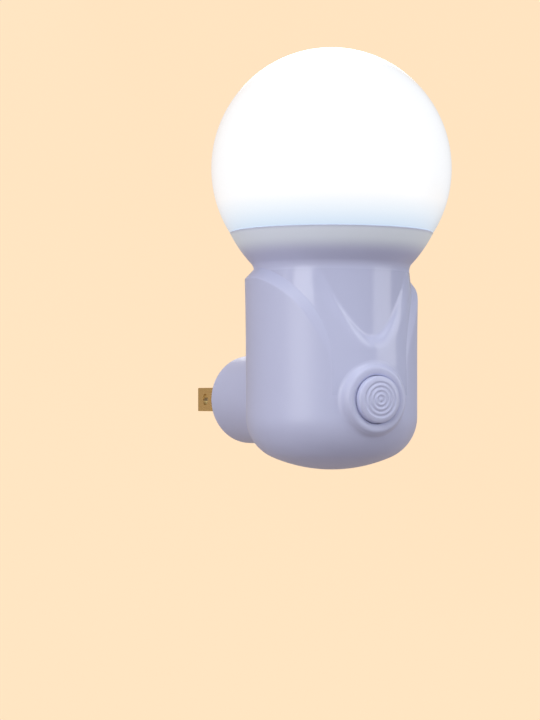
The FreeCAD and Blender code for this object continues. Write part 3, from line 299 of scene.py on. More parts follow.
# %% The front sheet
NOTCH_Z, NOTCH_RISE, NOTCH_WIDE, NOTCH_POWER = 16.0, 11.8, math.radians(26.3), 1.35
NOTCH_TIP, NOTCH_SLOPE, NOTCH_START = math.radians(4.0), 2.8, 0.6
NOTCH_SOFT, NOTCH_SHALLOW, NOTCH_DEEPEST = 0.5, 0.7, 4.0
ARMS_SHARE, ARMS_COLS, SIDE_COLS = 0.6, 84, 28
across = np.concatenate([np.linspace(0, ARMS_SHARE, ARMS_COLS),
                         np.linspace(ARMS_SHARE, 1, SIDE_COLS)[1:]])


def with_notch(radius, angle, height):
    """The radius with the V neck in it. An arm's height is a power of the angle, rounded at the
    tip. The distance below an arm is the drop in height times the cosine of the arm's slope.
    Above the arms the radius is the neck's, and below them it climbs to the layer's own."""
    arm = np.maximum(np.hypot(angle, NOTCH_TIP) - NOTCH_TIP, 1e-6) / NOTCH_WIDE
    arm_z = NOTCH_Z + NOTCH_RISE * arm**NOTCH_POWER
    steep = NOTCH_RISE * NOTCH_POWER / (NOTCH_WIDE * BODY_R) * arm ** (NOTCH_POWER - 1)
    below = (arm_z - height) / np.sqrt(1 + steep**2) / NOTCH_SLOPE
    neck = np.minimum(NECK_R, radius)
    climb = np.maximum(below, 0) * (radius - neck) * ease(np.clip(below / NOTCH_START, 0, 1))
    soft = np.maximum(NOTCH_SOFT * np.clip((radius - neck) / NOTCH_SHALLOW, 0, 1), 1e-6)
    return np.where(height < NOTCH_Z - NOTCH_DEEPEST, radius, lower_of(neck + climb, radius, soft))


front_angle = across * foot_angle[:climb_end, None]
front_z = np.broadcast_to(foot_z[:climb_end, None], front_angle.shape)
plain_r = outline(front_z)
front_r = np.where(front_z > ROUND_LOW_Z, plain_r, with_notch(plain_r, front_angle, front_z))
front_r[:, -1] = edge_r[:climb_end, 0]
front_sheet = points_at(front_r, front_angle, front_z)
print("front sheet", front_sheet.shape[:2])

# %% [markdown]
# ## Round openings in a round wall
# The button and the swivel pass through the wall along a level line. A Boolean cut would break up
# the rows and leave long thin faces that shade badly. Here a block of the sheet is left out, and
# a fan of rows runs from the block's border in to a circle, then along the tube behind it.

# %% Leave a gap in a sheet and fan it in to a circle
def open_gap(sheet, low, high, side, at_front):
    """A sheet without a block of its rows and columns, from the middle line to the column called
    side. Gives the gap's border in (x, z), from the bottom at the middle line out, up and back,
    and the rest of the sheet in three pieces."""
    last = sheet.shape[1] - 1
    cols = np.arange(0, side + 1) if at_front else np.arange(last, side - 1, -1)
    border = np.concatenate([sheet[low, cols], sheet[low + 1:high, side], sheet[high, cols[::-1]]])
    beside = sheet[low:high + 1, side:] if at_front else sheet[low:high + 1, :side + 1]
    return border[:, [0, 2]], [sheet[:low + 1], beside, sheet[high:]]


def fan(border, circle_r, count, wall_r, facing):
    """Rows of points from a border on the wall to a circle about the level axis. Each row is a
    mix of the border and the circle, whose points keep the border's directions. Its depth is the
    root of the wall's radius squared, at that height, minus x squared."""
    turn = np.arctan2(border[:, 0], border[:, 1])
    turn[0], turn[-1] = math.pi, 0.0
    circle = circle_r * np.stack([np.sin(turn), np.cos(turn)], axis=1)
    circle[[0, -1], 0] = 0.0
    mix = np.linspace(0, 1, count)[:, None, None]
    x, z = np.moveaxis((1 - mix) * border + mix * circle, -1, 0)
    depth = facing * half_chord(wall_r(z), x)
    return np.stack([x, AXIS_Y + depth, z], axis=-1), turn


def rings(turn, steps):
    """Circles about the level axis, one for each (radius, depth) step, with their points in the
    directions called turn."""
    radius, depth = np.array(steps, float).T[:, :, None]
    x = radius * np.sin(turn)
    x[:, [0, -1]] = 0.0
    return np.stack([x, np.broadcast_to(AXIS_Y + depth, x.shape), radius * np.cos(turn)], axis=-1)


def nearest(values, wanted):
    """The place in a list of the value nearest to the wanted one."""
    return int(np.argmin(np.abs(values - wanted)))


print("nearest row to the axis:", nearest(foot_z, 0.0))

# %% [markdown]
# ## The button's surround
# The button sits in a low round bead of the same moulding, which runs out softly into the wall.
# Its rings start on the wall, where the fan ends, and mix towards the bead's side, then go over
# its crest and down into the hole.

# %% The button's surround
BUTTON_HOLE_R, GUIDE_END, SEAM = 5.89, -15.7, 0.15
SURROUND_R, SURROUND_OUT = 9.6, 0.85
BEAD_R, BEAD_MIDDLE_R, BEAD_SIDE = 1.0, 7.3, 0.7
# radius of each ring of the flank, and how far it is from the wall towards the bead's side
SURROUND_FLANK = [(9.35, 0.03), (9.12, 0.1), (8.92, 0.23), (8.76, 0.42), (8.62, 0.65), (8.48, 0.86)]
# radius of each ring between the bead and the hole, and its drop from the crest
SURROUND_FALL = [(6.9, 0.02), (6.5, 0.07), (6.2, 0.15), (6.0, 0.24), (BUTTON_HOLE_R, 0.38)]
SURROUND_GAP_LOW_Z, SURROUND_GAP_HIGH_Z, SURROUND_GAP_SHARE = -10.2, 10.3, 0.93
HOLE_MIDDLE = -19.0
gap_low = nearest(foot_z[:climb_end], SURROUND_GAP_LOW_Z)
gap_high = nearest(foot_z[:climb_end], SURROUND_GAP_HIGH_Z)
gap_side = nearest(across, SURROUND_GAP_SHARE)
gap_border, front_parts = open_gap(front_sheet, gap_low, gap_high, gap_side, True)
front_fan, front_turn = fan(gap_border, SURROUND_R, 4, outline, -1.0)
crest_y = -(BODY_R + SURROUND_OUT)


def flank_row(radius, mix):
    """A ring part of the way from the wall's own depth to the depth of the bead's side."""
    row = rings(front_turn, [(radius, 0.0)])[0]
    wall_y = -half_chord(outline(row[:, 2]), row[:, 0])
    row[:, 1] = AXIS_Y + wall_y * (1 - mix) + (crest_y + BEAD_SIDE) * mix
    return row


bead = arc((BEAD_MIDDLE_R, crest_y + BEAD_R), BEAD_R, -22, -90, 9).tolist()
fall = [(radius, crest_y + drop) for radius, drop in SURROUND_FALL]
hole = [(BUTTON_HOLE_R, HOLE_MIDDLE), (BUTTON_HOLE_R, GUIDE_END - SEAM)]
flank = np.array([flank_row(*step) for step in SURROUND_FLANK])
surround = np.concatenate([front_fan[-1:], flank, rings(front_turn, bead + fall + hole)])
print("rings of the surround:", len(surround))

# %% [markdown]
# ## The boss behind
# The plug's hub turns in a round boss at the back, with a shallow groove in its face. A turned
# ring pushed into the wall would hide where the two meet. The boss is made like the surround
# instead, from a gap in the wrap's sheet, so the skin stays closed.

# %% The boss behind
BOSS_R, BOSS_FACE, HUB_BORE, HUB_SEAT = 11.7, 23.5, 8.08, 14.4
GROOVE_OUT_R, GROOVE_IN_R, GROOVE_END = 10.7, 9.1, 22.3
BOSS_GAP_LOW_Z, BOSS_GAP_HIGH_Z, BOSS_GAP_X = -12.7, 12.9, 13.0
boss_low, boss_high = nearest(wrap_z[:, -1], BOSS_GAP_LOW_Z), nearest(wrap_z[:, -1], BOSS_GAP_HIGH_Z)
boss_side = nearest(top_angle, math.pi - math.asin(BOSS_GAP_X / BODY_R))
gap_border, wrap_parts = open_gap(wrap_sheet, boss_low, boss_high, boss_side, False)
back_fan, back_turn = fan(gap_border, BOSS_R, 4, wrap_outline, 1.0)
boss_steps = [(BOSS_R, 22.6), (BOSS_R, 23.25), (BOSS_R - 0.08, 23.42), (BOSS_R - 0.25, BOSS_FACE),
              (GROOVE_OUT_R, BOSS_FACE), (GROOVE_OUT_R, GROOVE_END),
              (GROOVE_IN_R, GROOVE_END), (GROOVE_IN_R, BOSS_FACE),
              (HUB_BORE + 0.3, BOSS_FACE), (HUB_BORE, 23.2), (HUB_BORE, HUB_SEAT + SEAM)]
boss = np.concatenate([back_fan[-1:], rings(back_turn, boss_steps)])
print("rings of the boss:", len(boss))

# %% [markdown]
# ## Neck and cup
# Above the layers everything is round again: the neck, the cup, its lip, and the two steps inside
# that seat the tray and the ball. It could be spun from a curve of its own, but then its points
# wouldn't meet those of the layers. So it is one sheet that keeps their columns.

# %% Neck and cup
CUP_BORE_R, CUP_SEAT_Z, TRAY_BORE_R, TRAY_SEAT_Z = 22.58, 38.99, 21.17, 37.4
FUNNEL_R, FUNNEL_LOW_Z, INNER_TOP_Z = 20.4, 33.2, 10.2
ring_angle = np.concatenate([front_angle[-1], level_angle])
neck_z = np.concatenate([[WRAP_TOP_Z], np.linspace(NECK_Z - 0.4, ROUND_HIGH_Z + 0.1, 7),
                         np.linspace(34.4, RIM_Z - 0.25, 15)])
cup_steps = [(RIM_R - 0.03, RIM_Z - 0.12), (RIM_R - 0.12, RIM_Z - 0.03), (RIM_R - 0.3, RIM_Z),
             (CUP_BORE_R, RIM_Z), (CUP_BORE_R, CUP_SEAT_Z), (TRAY_BORE_R, CUP_SEAT_Z),
             (TRAY_BORE_R, TRAY_SEAT_Z), (FUNNEL_R, TRAY_SEAT_Z), (CAVITY_R, FUNNEL_LOW_Z),
             (CAVITY_R, 31.0), (CAVITY_R, 20.0), (CAVITY_R, INNER_TOP_Z)]
cup_r, cup_z = np.concatenate([np.stack([outline(neck_z), neck_z], axis=1), cup_steps]).T
cup_sheet = points_at(cup_r[:, None], ring_angle, cup_z[:, None])
print("rows of the cup:", len(cup_r))

# %% [markdown]
# ## The bottom
# The underside is a shallow dome with a rounded corner, so the lamp has no sharp edge below. Half a
# ball, squeezed flat, would have a corner that changes all the way. Two arcs that touch give the
# true shape. The last row shrinks to a point on the axis, where the weld closes the pole.

# %% The bottom
low_angle = np.concatenate([front_angle[0], edge_angle[0, 1:], top_angle[1:]])
corner_from = math.degrees(math.asin((CORNER_Z - SIDE_LOW_Z) / CORNER_R))
corner_to = math.degrees(math.atan2(DOME_Z - CORNER_Z, CORNER_MIDDLE_R))
bottom = np.concatenate([
    arc((CORNER_MIDDLE_R, CORNER_Z), CORNER_R, -corner_from, -corner_to, 4),
    arc((0.0, DOME_Z), DOME_R, -corner_to, -90, 15)[1:],
])
bottom[-1, 0] = 0.0
bottom_sheet = points_at(bottom[:, :1], low_angle, bottom[:, 1:])
print("rows of the bottom:", len(bottom))

# %% [markdown]
# ## The inner wall
# The housing is hollow, with a wall of nearly even thickness. A Solidify modifier would copy every
# small step of the outside to the inside, where a mould has none. So the inner wall is another
# round sheet, with gaps of its own for the two tubes.

# %% The inner wall and its openings
GUIDE_R, SEAT_R = 7.4, 9.6
HALF_WAY_ANGLE, GUIDE_GAP_Z, GUIDE_GAP_ANGLE, SEAT_GAP_ANGLE = 1.5, 8.6, 0.5, math.pi - 0.62
INNER_LOW_Z = [-11.4, -12.4, -13.1, -13.57]


def inner_wall(height):
    """Radius of the inner wall: straight above the corner, and the corner's inner arc below."""
    corner = CORNER_MIDDLE_R + half_chord(CORNER_R - BODY_WALL, height - CORNER_Z)
    return np.where(height > CORNER_Z, CAVITY_R, corner)


inner_z = np.concatenate([np.linspace(INNER_TOP_Z, -INNER_TOP_Z, 25), INNER_LOW_Z])[::-1]
inner_dome = half_chord(DOME_R - BODY_WALL, inner_z - DOME_Z)
inner_r = np.where(inner_z < -INNER_TOP_Z, inner_dome, inner_wall(inner_z))
inner_r[0] = 0.0
inner_sheet = points_at(inner_r[:, None], ring_angle, inner_z[:, None])
half_way = nearest(ring_angle, HALF_WAY_ANGLE)

guide_low, guide_high = nearest(inner_z, -GUIDE_GAP_Z), nearest(inner_z, GUIDE_GAP_Z)
guide_side = nearest(ring_angle, GUIDE_GAP_ANGLE)
gap_border, inner_parts = open_gap(inner_sheet[:, :half_way + 1], guide_low, guide_high, guide_side, True)
guide_fan, guide_turn = fan(gap_border, GUIDE_R, 3, inner_wall, -1.0)
guide_steps = [(GUIDE_R, GUIDE_END), (BUTTON_HOLE_R + SEAM, GUIDE_END)]
guide = np.concatenate([guide_fan[-1:], rings(guide_turn, guide_steps)])

seat_low = nearest(inner_z, -INNER_TOP_Z)
seat_high = len(inner_z) - 1
seat_side = nearest(ring_angle, SEAT_GAP_ANGLE) - half_way
gap_border, back_parts = open_gap(inner_sheet[:, half_way:], seat_low, seat_high, seat_side, False)
inner_parts += back_parts[:2]  # the third piece is the top row alone, which has no faces
seat_fan, seat_turn = fan(gap_border, SEAT_R, 3, inner_wall, 1.0)
seat = np.concatenate([seat_fan[-1:],
                       rings(seat_turn, [(SEAT_R, HUB_SEAT), (HUB_BORE + SEAM, HUB_SEAT)])])
print("pieces of the inner wall:", len(inner_parts))

# %% [markdown]
# ## Closing the tubes
# The button and the hub each slide or turn in a tube through the wall. The tube's outer and inner
# ends have different numbers of points, because the outside is much finer. Blender's bridge tool
# can twist between such rings. A strip of triangles closes like a zip instead, with each step
# going to the point opposite.

# %% Close the tubes like a zip
def zipped(first, first_turn, second, second_turn):
    """Triangles between two rings with different numbers of points. Each step along one ring makes
    a triangle with a point of the other: the one numbered by how many of the other ring's steps
    have their middle before this step's middle."""
    first_middle = -(first_turn[1:] + first_turn[:-1]) / 2
    second_middle = -(second_turn[1:] + second_turn[:-1]) / 2
    partner_second = second[np.searchsorted(second_middle, first_middle)]
    partner_first = first[np.searchsorted(first_middle, second_middle, side="right")]
    return np.concatenate([np.stack([first[:-1], first[1:], partner_second], axis=1),
                           np.stack([second[:-1], second[1:], partner_first], axis=1)])


zips = [zipped(surround[-1], front_turn, guide[-1], guide_turn),
        zipped(boss[-1], back_turn, seat[-1], seat_turn)]
print("triangles in the zips:", sum(len(strip) for strip in zips))

# %% [markdown]
# ## The housing in one closed mesh
# So far there is only the right half. The housing is the same on both sides, so the left half is
# the same sheets with x turned round, and one weld joins everything. A Mirror modifier would do
# it too, but here the weld and the check for open edges come in one step.

# %% The housing
MIRROR = np.array([-1.0, 1.0, 1.0])
half = [edge_sheet, front_fan, surround, back_fan, boss, cup_sheet, bottom_sheet,
        guide_fan, guide, seat_fan, seat]
half += front_parts + wrap_parts + inner_parts
housing = piece("housing", half + [sheet * MIRROR for sheet in half], "lamp", "body_shell",
                zips + [strip * MIRROR for strip in zips])

# %% [markdown]
# ## The ball
# The frosted ball is a thin globe. Its open bottom ends in a spigot with a small bead, which snaps
# into the cup. A plain sphere would have no thickness or spigot, and a Solidify modifier couldn't
# make the bead, so the whole section is one outline: outside, spigot, and inside again. It
# starts and ends on the axis, and turning it closes both poles.

# %% Turn an outline about an axis
def turned(profile, count, upright_axis):
    """An outline of (radius, height) points turned once about an axis. Upright, a point becomes
    (radius sin a, -radius cos a, height). Level, it becomes (radius sin a, height, radius cos a)."""
    radius, height = np.asarray(profile, float).T[:, :, None]
    angle = np.linspace(0, 2 * np.pi, count + 1)
    if upright_axis:
        return points_at(radius, angle, height)
    level = np.broadcast_to(AXIS_Y + height, (len(height), count + 1))
    return np.stack([radius * np.sin(angle), level, radius * np.cos(angle)], axis=-1)


# %% The ball
SPIGOT_R, SPIGOT_LOW_Z, SPIGOT_CHAMFER = 22.47, 39.4, 0.2
SNAP_Z, SNAP_HALF, SNAP_OUT = 40.5, 0.4, 0.1
EDGE_ROUND = 0.9
inner_ball_r, spigot_inner_r, lip_z = BALL_R - BALL_WALL, SPIGOT_R - BALL_WALL, RIM_Z + BALL_WALL
rim_angle = math.degrees(math.atan2(RIM_Z - BALL_Z, RIM_R))
lip_angle = math.degrees(math.asin((lip_z - BALL_Z) / inner_ball_r))
ball_outside = arc((0.0, BALL_Z), BALL_R, 90, rim_angle + EDGE_ROUND, 100)
ball_inside = arc((0.0, BALL_Z), inner_ball_r, lip_angle, 90, 60)
ball_outside[0, 0] = ball_inside[-1, 0] = 0.0
spigot = [(RIM_R - 0.03, RIM_Z + 0.12), (RIM_R - 0.2, RIM_Z + 0.02), (SPIGOT_R, RIM_Z + 0.02),
          (SPIGOT_R, SNAP_Z + SNAP_HALF), (SPIGOT_R + SNAP_OUT, SNAP_Z), (SPIGOT_R, SNAP_Z - SNAP_HALF),
          (SPIGOT_R, SPIGOT_LOW_Z + SPIGOT_CHAMFER), (SPIGOT_R - SPIGOT_CHAMFER, SPIGOT_LOW_Z),
          (spigot_inner_r, SPIGOT_LOW_Z), (spigot_inner_r, lip_z)]
ball_sheet = turned(np.concatenate([ball_outside, spigot, ball_inside]), 192, True)
ball = piece("frosted_ball", [ball_sheet], "lamp", "ball_diffuser")

# %% [markdown]
# ## The button
# The button is a small cup with a rippled face, which gives the finger a grip. A bump map would
# only shade the ripples, and at this size their outline shows, so they are real: a cosine of the
# radius that fades out at the rim, on a face that falls away a little. Behind it, a socket grips
# the stem of the switch.

# %% The button's face and shoulder
BUTTON_FACE, BUTTON_R, FACE_R, FACE_FALL, FACE_MORE = -24.0, 5.8, 4.65, 0.35, 0.15
RIPPLE, RIPPLE_PITCH, RIPPLE_START, FLAT_R = 0.11, 1.1, 0.15, 0.2
FADE_PAST, FADE_WIDE = 0.1, 0.45
SHOULDER_SOFT, SIDE_SOFT, SOFT_SHARE = 0.9, 0.8, 0.45
face_r = np.linspace(0, FACE_R + FACE_MORE, 80)
fade = ease(np.clip((FACE_R + FADE_PAST - face_r) / FADE_WIDE, 0, 1))
wave = np.cos(2 * np.pi * (face_r - RIPPLE_START) / RIPPLE_PITCH) - 1
face_y = BUTTON_FACE + FACE_FALL * (face_r / FACE_R) ** 2 - RIPPLE * wave * fade
face_y = np.where(face_r < FLAT_R, face_y[np.searchsorted(face_r, FLAT_R)], face_y)


def rounded(corners, soft, steps=9):
    """A run of points with its inner corners rounded. A corner becomes a curve between a point on
    the side before it and one on the side after: (1 - t) squared of the first, 2 t (1 - t) of the
    corner, and t squared of the last."""
    corners = np.asarray(corners, float)
    middle = corners[1:-1]
    before, after = corners[:-2] - middle, corners[2:] - middle
    before_long = np.linalg.norm(before, axis=1, keepdims=True)
    after_long = np.linalg.norm(after, axis=1, keepdims=True)
    reach = np.minimum(np.array(soft)[:, None], SOFT_SHARE * np.minimum(before_long, after_long))
    start = (middle + before / before_long * reach)[:, None]
    end = (middle + after / after_long * reach)[:, None]
    t = np.linspace(0, 1, steps)[None, :, None]
    curve = (1 - t) ** 2 * start + 2 * t * (1 - t) * middle[:, None] + t**2 * end
    return np.concatenate([corners[:1], curve.reshape(-1, 2), corners[-1:]])


shoulder = rounded([(face_r[-1], face_y[-1]), (BUTTON_R - 0.15, face_y[-1] + 0.35),
                    (BUTTON_R, -21.6), (BUTTON_R, -20.0)], [SHOULDER_SOFT, SIDE_SOFT])
print("the face falls to", round(float(face_y[-1]), 2), "mm")

# %% The button
CAP_END, CAP_CHAMFER, CAP_INNER_R, CAP_FLOOR = -17.0, 0.2, 4.5, -22.7
SOCKET_R, SOCKET_END, STEM_R, STEM_TIP = 3.0, -12.0, 2.2, -15.2
cap_back = [(BUTTON_R, CAP_END - CAP_CHAMFER), (BUTTON_R - CAP_CHAMFER, CAP_END),
            (CAP_INNER_R, CAP_END), (CAP_INNER_R, CAP_FLOOR), (SOCKET_R, CAP_FLOOR),
            (SOCKET_R, SOCKET_END), (STEM_R, SOCKET_END), (STEM_R, STEM_TIP), (0.0, STEM_TIP)]
cap_profile = np.concatenate([np.stack([face_r, face_y], axis=1), shoulder[1:], cap_back])
button = piece("button", [turned(cap_profile, 128, False)], "button", "button_cap")

# %% [markdown]
# ## Helpers for finishes
# A finish is a small network of nodes. What several finishes share is a node group with named
# sockets, built once and placed in each with its own values. All patterns read object
# coordinates, so a pattern stays on its piece wherever the piece is turned.

# %% Helpers for node trees
COLOUR, VALUE, VECTOR = "NodeSocketColor", "NodeSocketFloat", "NodeSocketVector"
FINISH_OUTPUTS = [("Colour", COLOUR), ("Roughness", VALUE), ("Normal", VECTOR)]


def srgb(red, green, blue):
    """A colour as it looks on a screen, 0 to 255, turned into the light it stands for."""
    seen = np.array([red, green, blue]) / 255
    light = np.where(seen <= 0.04045, seen / 12.92, ((seen + 0.055) / 1.055) ** 2.4)
    return (*light.tolist(), 1.0)


def new_node(tree, kind, values=(), **settings):
    """A node with its own settings and with values for its inputs, by name."""
    made = tree.nodes.new(kind)
    for label, setting in settings.items():
        setattr(made, label, setting)
    for label, value in dict(values).items():
        made.inputs[label].default_value = value
    return made


def combined(tree, operation, first, second):
    """The output of a math node for two values, each a number or a socket."""
    made = new_node(tree, "ShaderNodeMath", operation=operation)
    for socket, value in zip(made.inputs, (first, second)):
        if isinstance(value, (int, float)):
            socket.default_value = value
        else:
            tree.links.new(value, socket)
    return made.outputs[0]


def new_group(name, inputs):
    """An empty group with named input sockets and the outputs of a finish."""
    tree = bpy.data.node_groups.new(name, "ShaderNodeTree")
    for label, kind, value in inputs:
        socket = tree.interface.new_socket(name=label, in_out="INPUT", socket_type=kind)
        socket.default_value = value
    for label, kind in FINISH_OUTPUTS:
        tree.interface.new_socket(name=label, in_out="OUTPUT", socket_type=kind)
    return tree, tree.nodes.new("NodeGroupInput").outputs, tree.nodes.new("NodeGroupOutput").inputs


def shaded(tree, colour, shade):
    """A colour made lighter or darker by a small shade: the colour times 1 plus the shade."""
    tint = new_node(tree, "ShaderNodeVectorMath", operation="SCALE")
    tree.links.new(colour, tint.inputs[0])
    tree.links.new(combined(tree, "ADD", shade, 1.0), tint.inputs["Scale"])
    return tint.outputs[0]


print("orange as light:", [round(v, 2) for v in srgb(255, 128, 0)])

# %% [markdown]
# ## The skin of a moulding
# Moulded plastic and lacquer aren't perfectly even. The steel of the mould leaves a very fine
# grain, and the gloss is a little cloudy. Two noises give this: a fine one for the grain, as a
# bump, and a broad one for the colour and the gloss. An image would repeat, and noise doesn't.

# %% The skin of a moulding
CLOUD_SCALE = 90.0


def moulded_skin():
    """A group that gives a moulding's colour, roughness and normal."""
    tree, given, result = new_group("Moulded skin", [
        ("Colour", COLOUR, (0.8, 0.8, 0.8, 1)), ("Grain scale", VALUE, 2500.0),
        ("Grain height", VALUE, 0.00001), ("Cloudiness", VALUE, 0.03), ("Roughness", VALUE, 0.4)])
    where = tree.nodes.new("ShaderNodeTexCoord").outputs["Object"]
    grain = new_node(tree, "ShaderNodeTexNoise", {"Detail": 2.0})
    cloud = new_node(tree, "ShaderNodeTexNoise", {"Detail": 3.0, "Scale": CLOUD_SCALE})
    bump = new_node(tree, "ShaderNodeBump", {"Strength": 1.0})
    tree.links.new(where, grain.inputs["Vector"])
    tree.links.new(where, cloud.inputs["Vector"])
    tree.links.new(given["Grain scale"], grain.inputs["Scale"])
    shade = combined(tree, "SUBTRACT", cloud.outputs["Fac"], 0.5)
    shade = combined(tree, "MULTIPLY", shade, given["Cloudiness"])
    gloss = combined(tree, "ADD", combined(tree, "MULTIPLY", shade, 2.0), given["Roughness"])
    tree.links.new(shaded(tree, given["Colour"], shade), result["Colour"])
    tree.links.new(gloss, result["Roughness"])
    tree.links.new(grain.outputs["Fac"], bump.inputs["Height"])
    tree.links.new(given["Grain height"], bump.inputs["Distance"])
    tree.links.new(bump.outputs[0], result["Normal"])
    return tree


skin = moulded_skin()
print("group:", skin.name)

# %% [markdown]
# ## The grain of drawn metal
# Strip and wire are drawn through tools, which leave fine streaks along them. The shader's own
# anisotropy only stretches highlights. One noise, with its coordinates stretched by a different
# amount in each direction, gives streaks that line up in the colour, the roughness and the bump.

# %% The grain of drawn metal
STREAK_DEPTH = 0.00002


def drawn_metal():
    """A group that gives a drawn metal's colour, roughness and normal."""
    tree, given, result = new_group("Drawn metal", [
        ("Colour", COLOUR, (0.8, 0.7, 0.4, 1)), ("Along", VECTOR, (1, 1, 1)),
        ("Roughness", VALUE, 0.3), ("Streaks", VALUE, 0.2)])
    where = tree.nodes.new("ShaderNodeTexCoord").outputs["Object"]
    stretch = new_node(tree, "ShaderNodeVectorMath", operation="MULTIPLY")
    streak = new_node(tree, "ShaderNodeTexNoise", {"Scale": 1.0, "Detail": 3.0})
    bump = new_node(tree, "ShaderNodeBump", {"Strength": 0.3, "Distance": STREAK_DEPTH})
    tree.links.new(where, stretch.inputs[0])
    tree.links.new(given["Along"], stretch.inputs[1])
    tree.links.new(stretch.outputs[0], streak.inputs["Vector"])
    shade = combined(tree, "SUBTRACT", streak.outputs["Fac"], 0.5)
    shade = combined(tree, "MULTIPLY", shade, given["Streaks"])
    tree.links.new(shaded(tree, given["Colour"], shade), result["Colour"])
    tree.links.new(combined(tree, "ADD", shade, given["Roughness"]), result["Roughness"])
    tree.links.new(streak.outputs["Fac"], bump.inputs["Height"])
    tree.links.new(bump.outputs[0], result["Normal"])
    return tree


drawn = drawn_metal()
print("group:", drawn.name)

# %% [markdown]
# ## The finishes of the inner parts
# Most parts are inside and are seen only when the light is taken apart: boards, chips, leads,
# springs. A network for each would look the same and be harder to change, so each finish is one
# of the two groups with its own colour, gloss and grain.

# %% Finishes made from the groups
def finish(name, tree, values, metallic=0.0):
    """A material whose colour, roughness and normal come from one placed group."""
    material = bpy.data.materials.new(name)
    material.use_nodes = True
    material.diffuse_color = values["Colour"]
    links, shader = material.node_tree.links, material.node_tree.nodes["Principled BSDF"]
    shader.inputs["Metallic"].default_value = metallic
    placed = new_node(material.node_tree, "ShaderNodeGroup", node_tree=tree)
    for label, value in values.items():
        placed.inputs[label].default_value = value
    links.new(placed.outputs["Colour"], shader.inputs["Base Color"])
    links.new(placed.outputs["Roughness"], shader.inputs["Roughness"])
    links.new(placed.outputs["Normal"], shader.inputs["Normal"])
    return material


def moulded(name, colour, rough=0.4, grain=2500.0, height=0.000006, cloud=0.03):
    """A moulded or lacquered finish."""
    return finish(name, skin, {"Colour": srgb(*colour), "Grain scale": grain, "Grain height": height,
                               "Cloudiness": cloud, "Roughness": rough})


def metal(name, colour, along, rough=0.3, streaks=0.2):
    """A bare metal. The streaks repeat as often along x, y and z as along says."""
    values = {"Colour": srgb(*colour), "Along": along, "Roughness": rough, "Streaks": streaks}
    return finish(name, drawn, values, metallic=1.0)


looks = {
    "tray_plastic": moulded("white_tray", (232, 232, 226), 0.45),
    "light_board": moulded("white_board_coat", (238, 238, 232), 0.35, 1200.0, 0.000004),
    "lamp_chip": moulded("yellow_resin", (244, 208, 110), 0.3, 900.0),
    "black_plastic": moulded("black_moulding", (40, 40, 44), 0.5, 1800.0, 0.00001),
    "stem_plastic": moulded("natural_stem", (226, 224, 214), 0.45),
    "circuit_board": moulded("green_board_lacquer", (38, 112, 70), 0.3, 1500.0, 0.00001, 0.12),
    "film_coat": moulded("brown_dip", (140, 66, 42), 0.25, 400.0, 0.00002, 0.1),
    "can_sleeve": moulded("dark_sleeve", (44, 50, 74), 0.3, 500.0, 0.00001, 0.08),
    "resistor_coat": moulded("green_lacquer", (96, 150, 128), 0.4, 700.0, 0.00002, 0.1),
    "lead_red": moulded("red_insulation", (186, 40, 34), 0.45),
    "lead_black": moulded("black_insulation", (34, 34, 36), 0.45),
    "rubber": moulded("black_rubber", (30, 30, 31), 0.7, 1500.0, 0.00002),
    "steel": metal("bright_steel", (196, 198, 204), (600, 600, 4000), 0.28),
    "tinned_metal": metal("tinned_wire", (214, 214, 210), (900, 900, 900), 0.35),
    "blade_metal": metal("bright_brass", (222, 192, 128), (6000, 250, 6000), 0.26, 0.16),
}
print("finishes:", len(looks))

# %% [markdown]
# ## The lavender plastic
# The housing, the button and the barrel are one lavender plastic. A pale band runs just below the rim,
# most likely the ball's light coming through the thin wall. Here it is painted light: a ramp over the
# height makes the satin finish give out a little light of its own, fading again at the very rim.
# Glass-like transmission would be truer and far slower, for a band that the ramp gives as well.

# %% Colour by height
def colour_by_height(tree, low, high, stops, blend):
    """Colours over the object's own height, from low to high in millimetres. Stops are (share,
    colour) pairs, the first at 0 and the last at 1."""
    where = tree.nodes.new("ShaderNodeTexCoord")
    parts = tree.nodes.new("ShaderNodeSeparateXYZ")
    span = new_node(tree, "ShaderNodeMapRange", {"From Min": low * MM, "From Max": high * MM})
    ramp = tree.nodes.new("ShaderNodeValToRGB")
    ramp.color_ramp.interpolation = blend
    elements = ramp.color_ramp.elements
    elements[0].color, elements[1].color = stops[0][1], stops[-1][1]
    for share, colour in stops[1:-1]:
        elements.new(share).color = colour
    tree.links.new(where.outputs["Object"], parts.inputs[0])
    tree.links.new(parts.outputs["Z"], span.inputs["Value"])
    tree.links.new(span.outputs[0], ramp.inputs[0])
    return ramp.outputs[0]


# %% The lavender plastic
# painted glow: the light that the satin gives out in a band below the rim, weaker again at the very rim
PAINTED_GLOW_LOW_Z = 35.2
PAINTED_GLOW_STOPS = [(0.0, (0, 0, 0, 1)), (0.66, (0.18, 0.20, 0.14, 1)), (0.86, (0.19, 0.21, 0.15, 1)),
              (1.0, (0.08, 0.09, 0.07, 1))]
LAVENDER = (196, 200, 229)
satin = moulded("lavender_satin", LAVENDER, 0.36, 2600.0, 0.000004, 0.02)
polished = moulded("lavender_polished", LAVENDER, 0.16, 2600.0, 0.000001, 0.02)
satin_shader = satin.node_tree.nodes["Principled BSDF"]
# the painted glow feeds the satin's emission, so every part with this finish shines at that height
painted_glow = colour_by_height(satin.node_tree, PAINTED_GLOW_LOW_Z, RIM_Z, PAINTED_GLOW_STOPS, "EASE")
satin.node_tree.links.new(painted_glow, satin_shader.inputs["Emission Color"])
satin_shader.inputs["Emission Strength"].default_value = 1.0
for made in (housing, button):
    made.data.materials.append(satin)
housing.data.materials.append(polished)
print("satin and polished:", satin.name, polished.name)

# %% [markdown]
# ## Where it is polished
# The lower layer in front is polished and shows crisp bands of light. The wrap, the surround and
# the cup are satin. A painted mask would need an unwrapped surface. The faces already follow the
# wrap's edge, so each face takes its finish from its height and angle, compared with the same
# curve that the edge was made from.

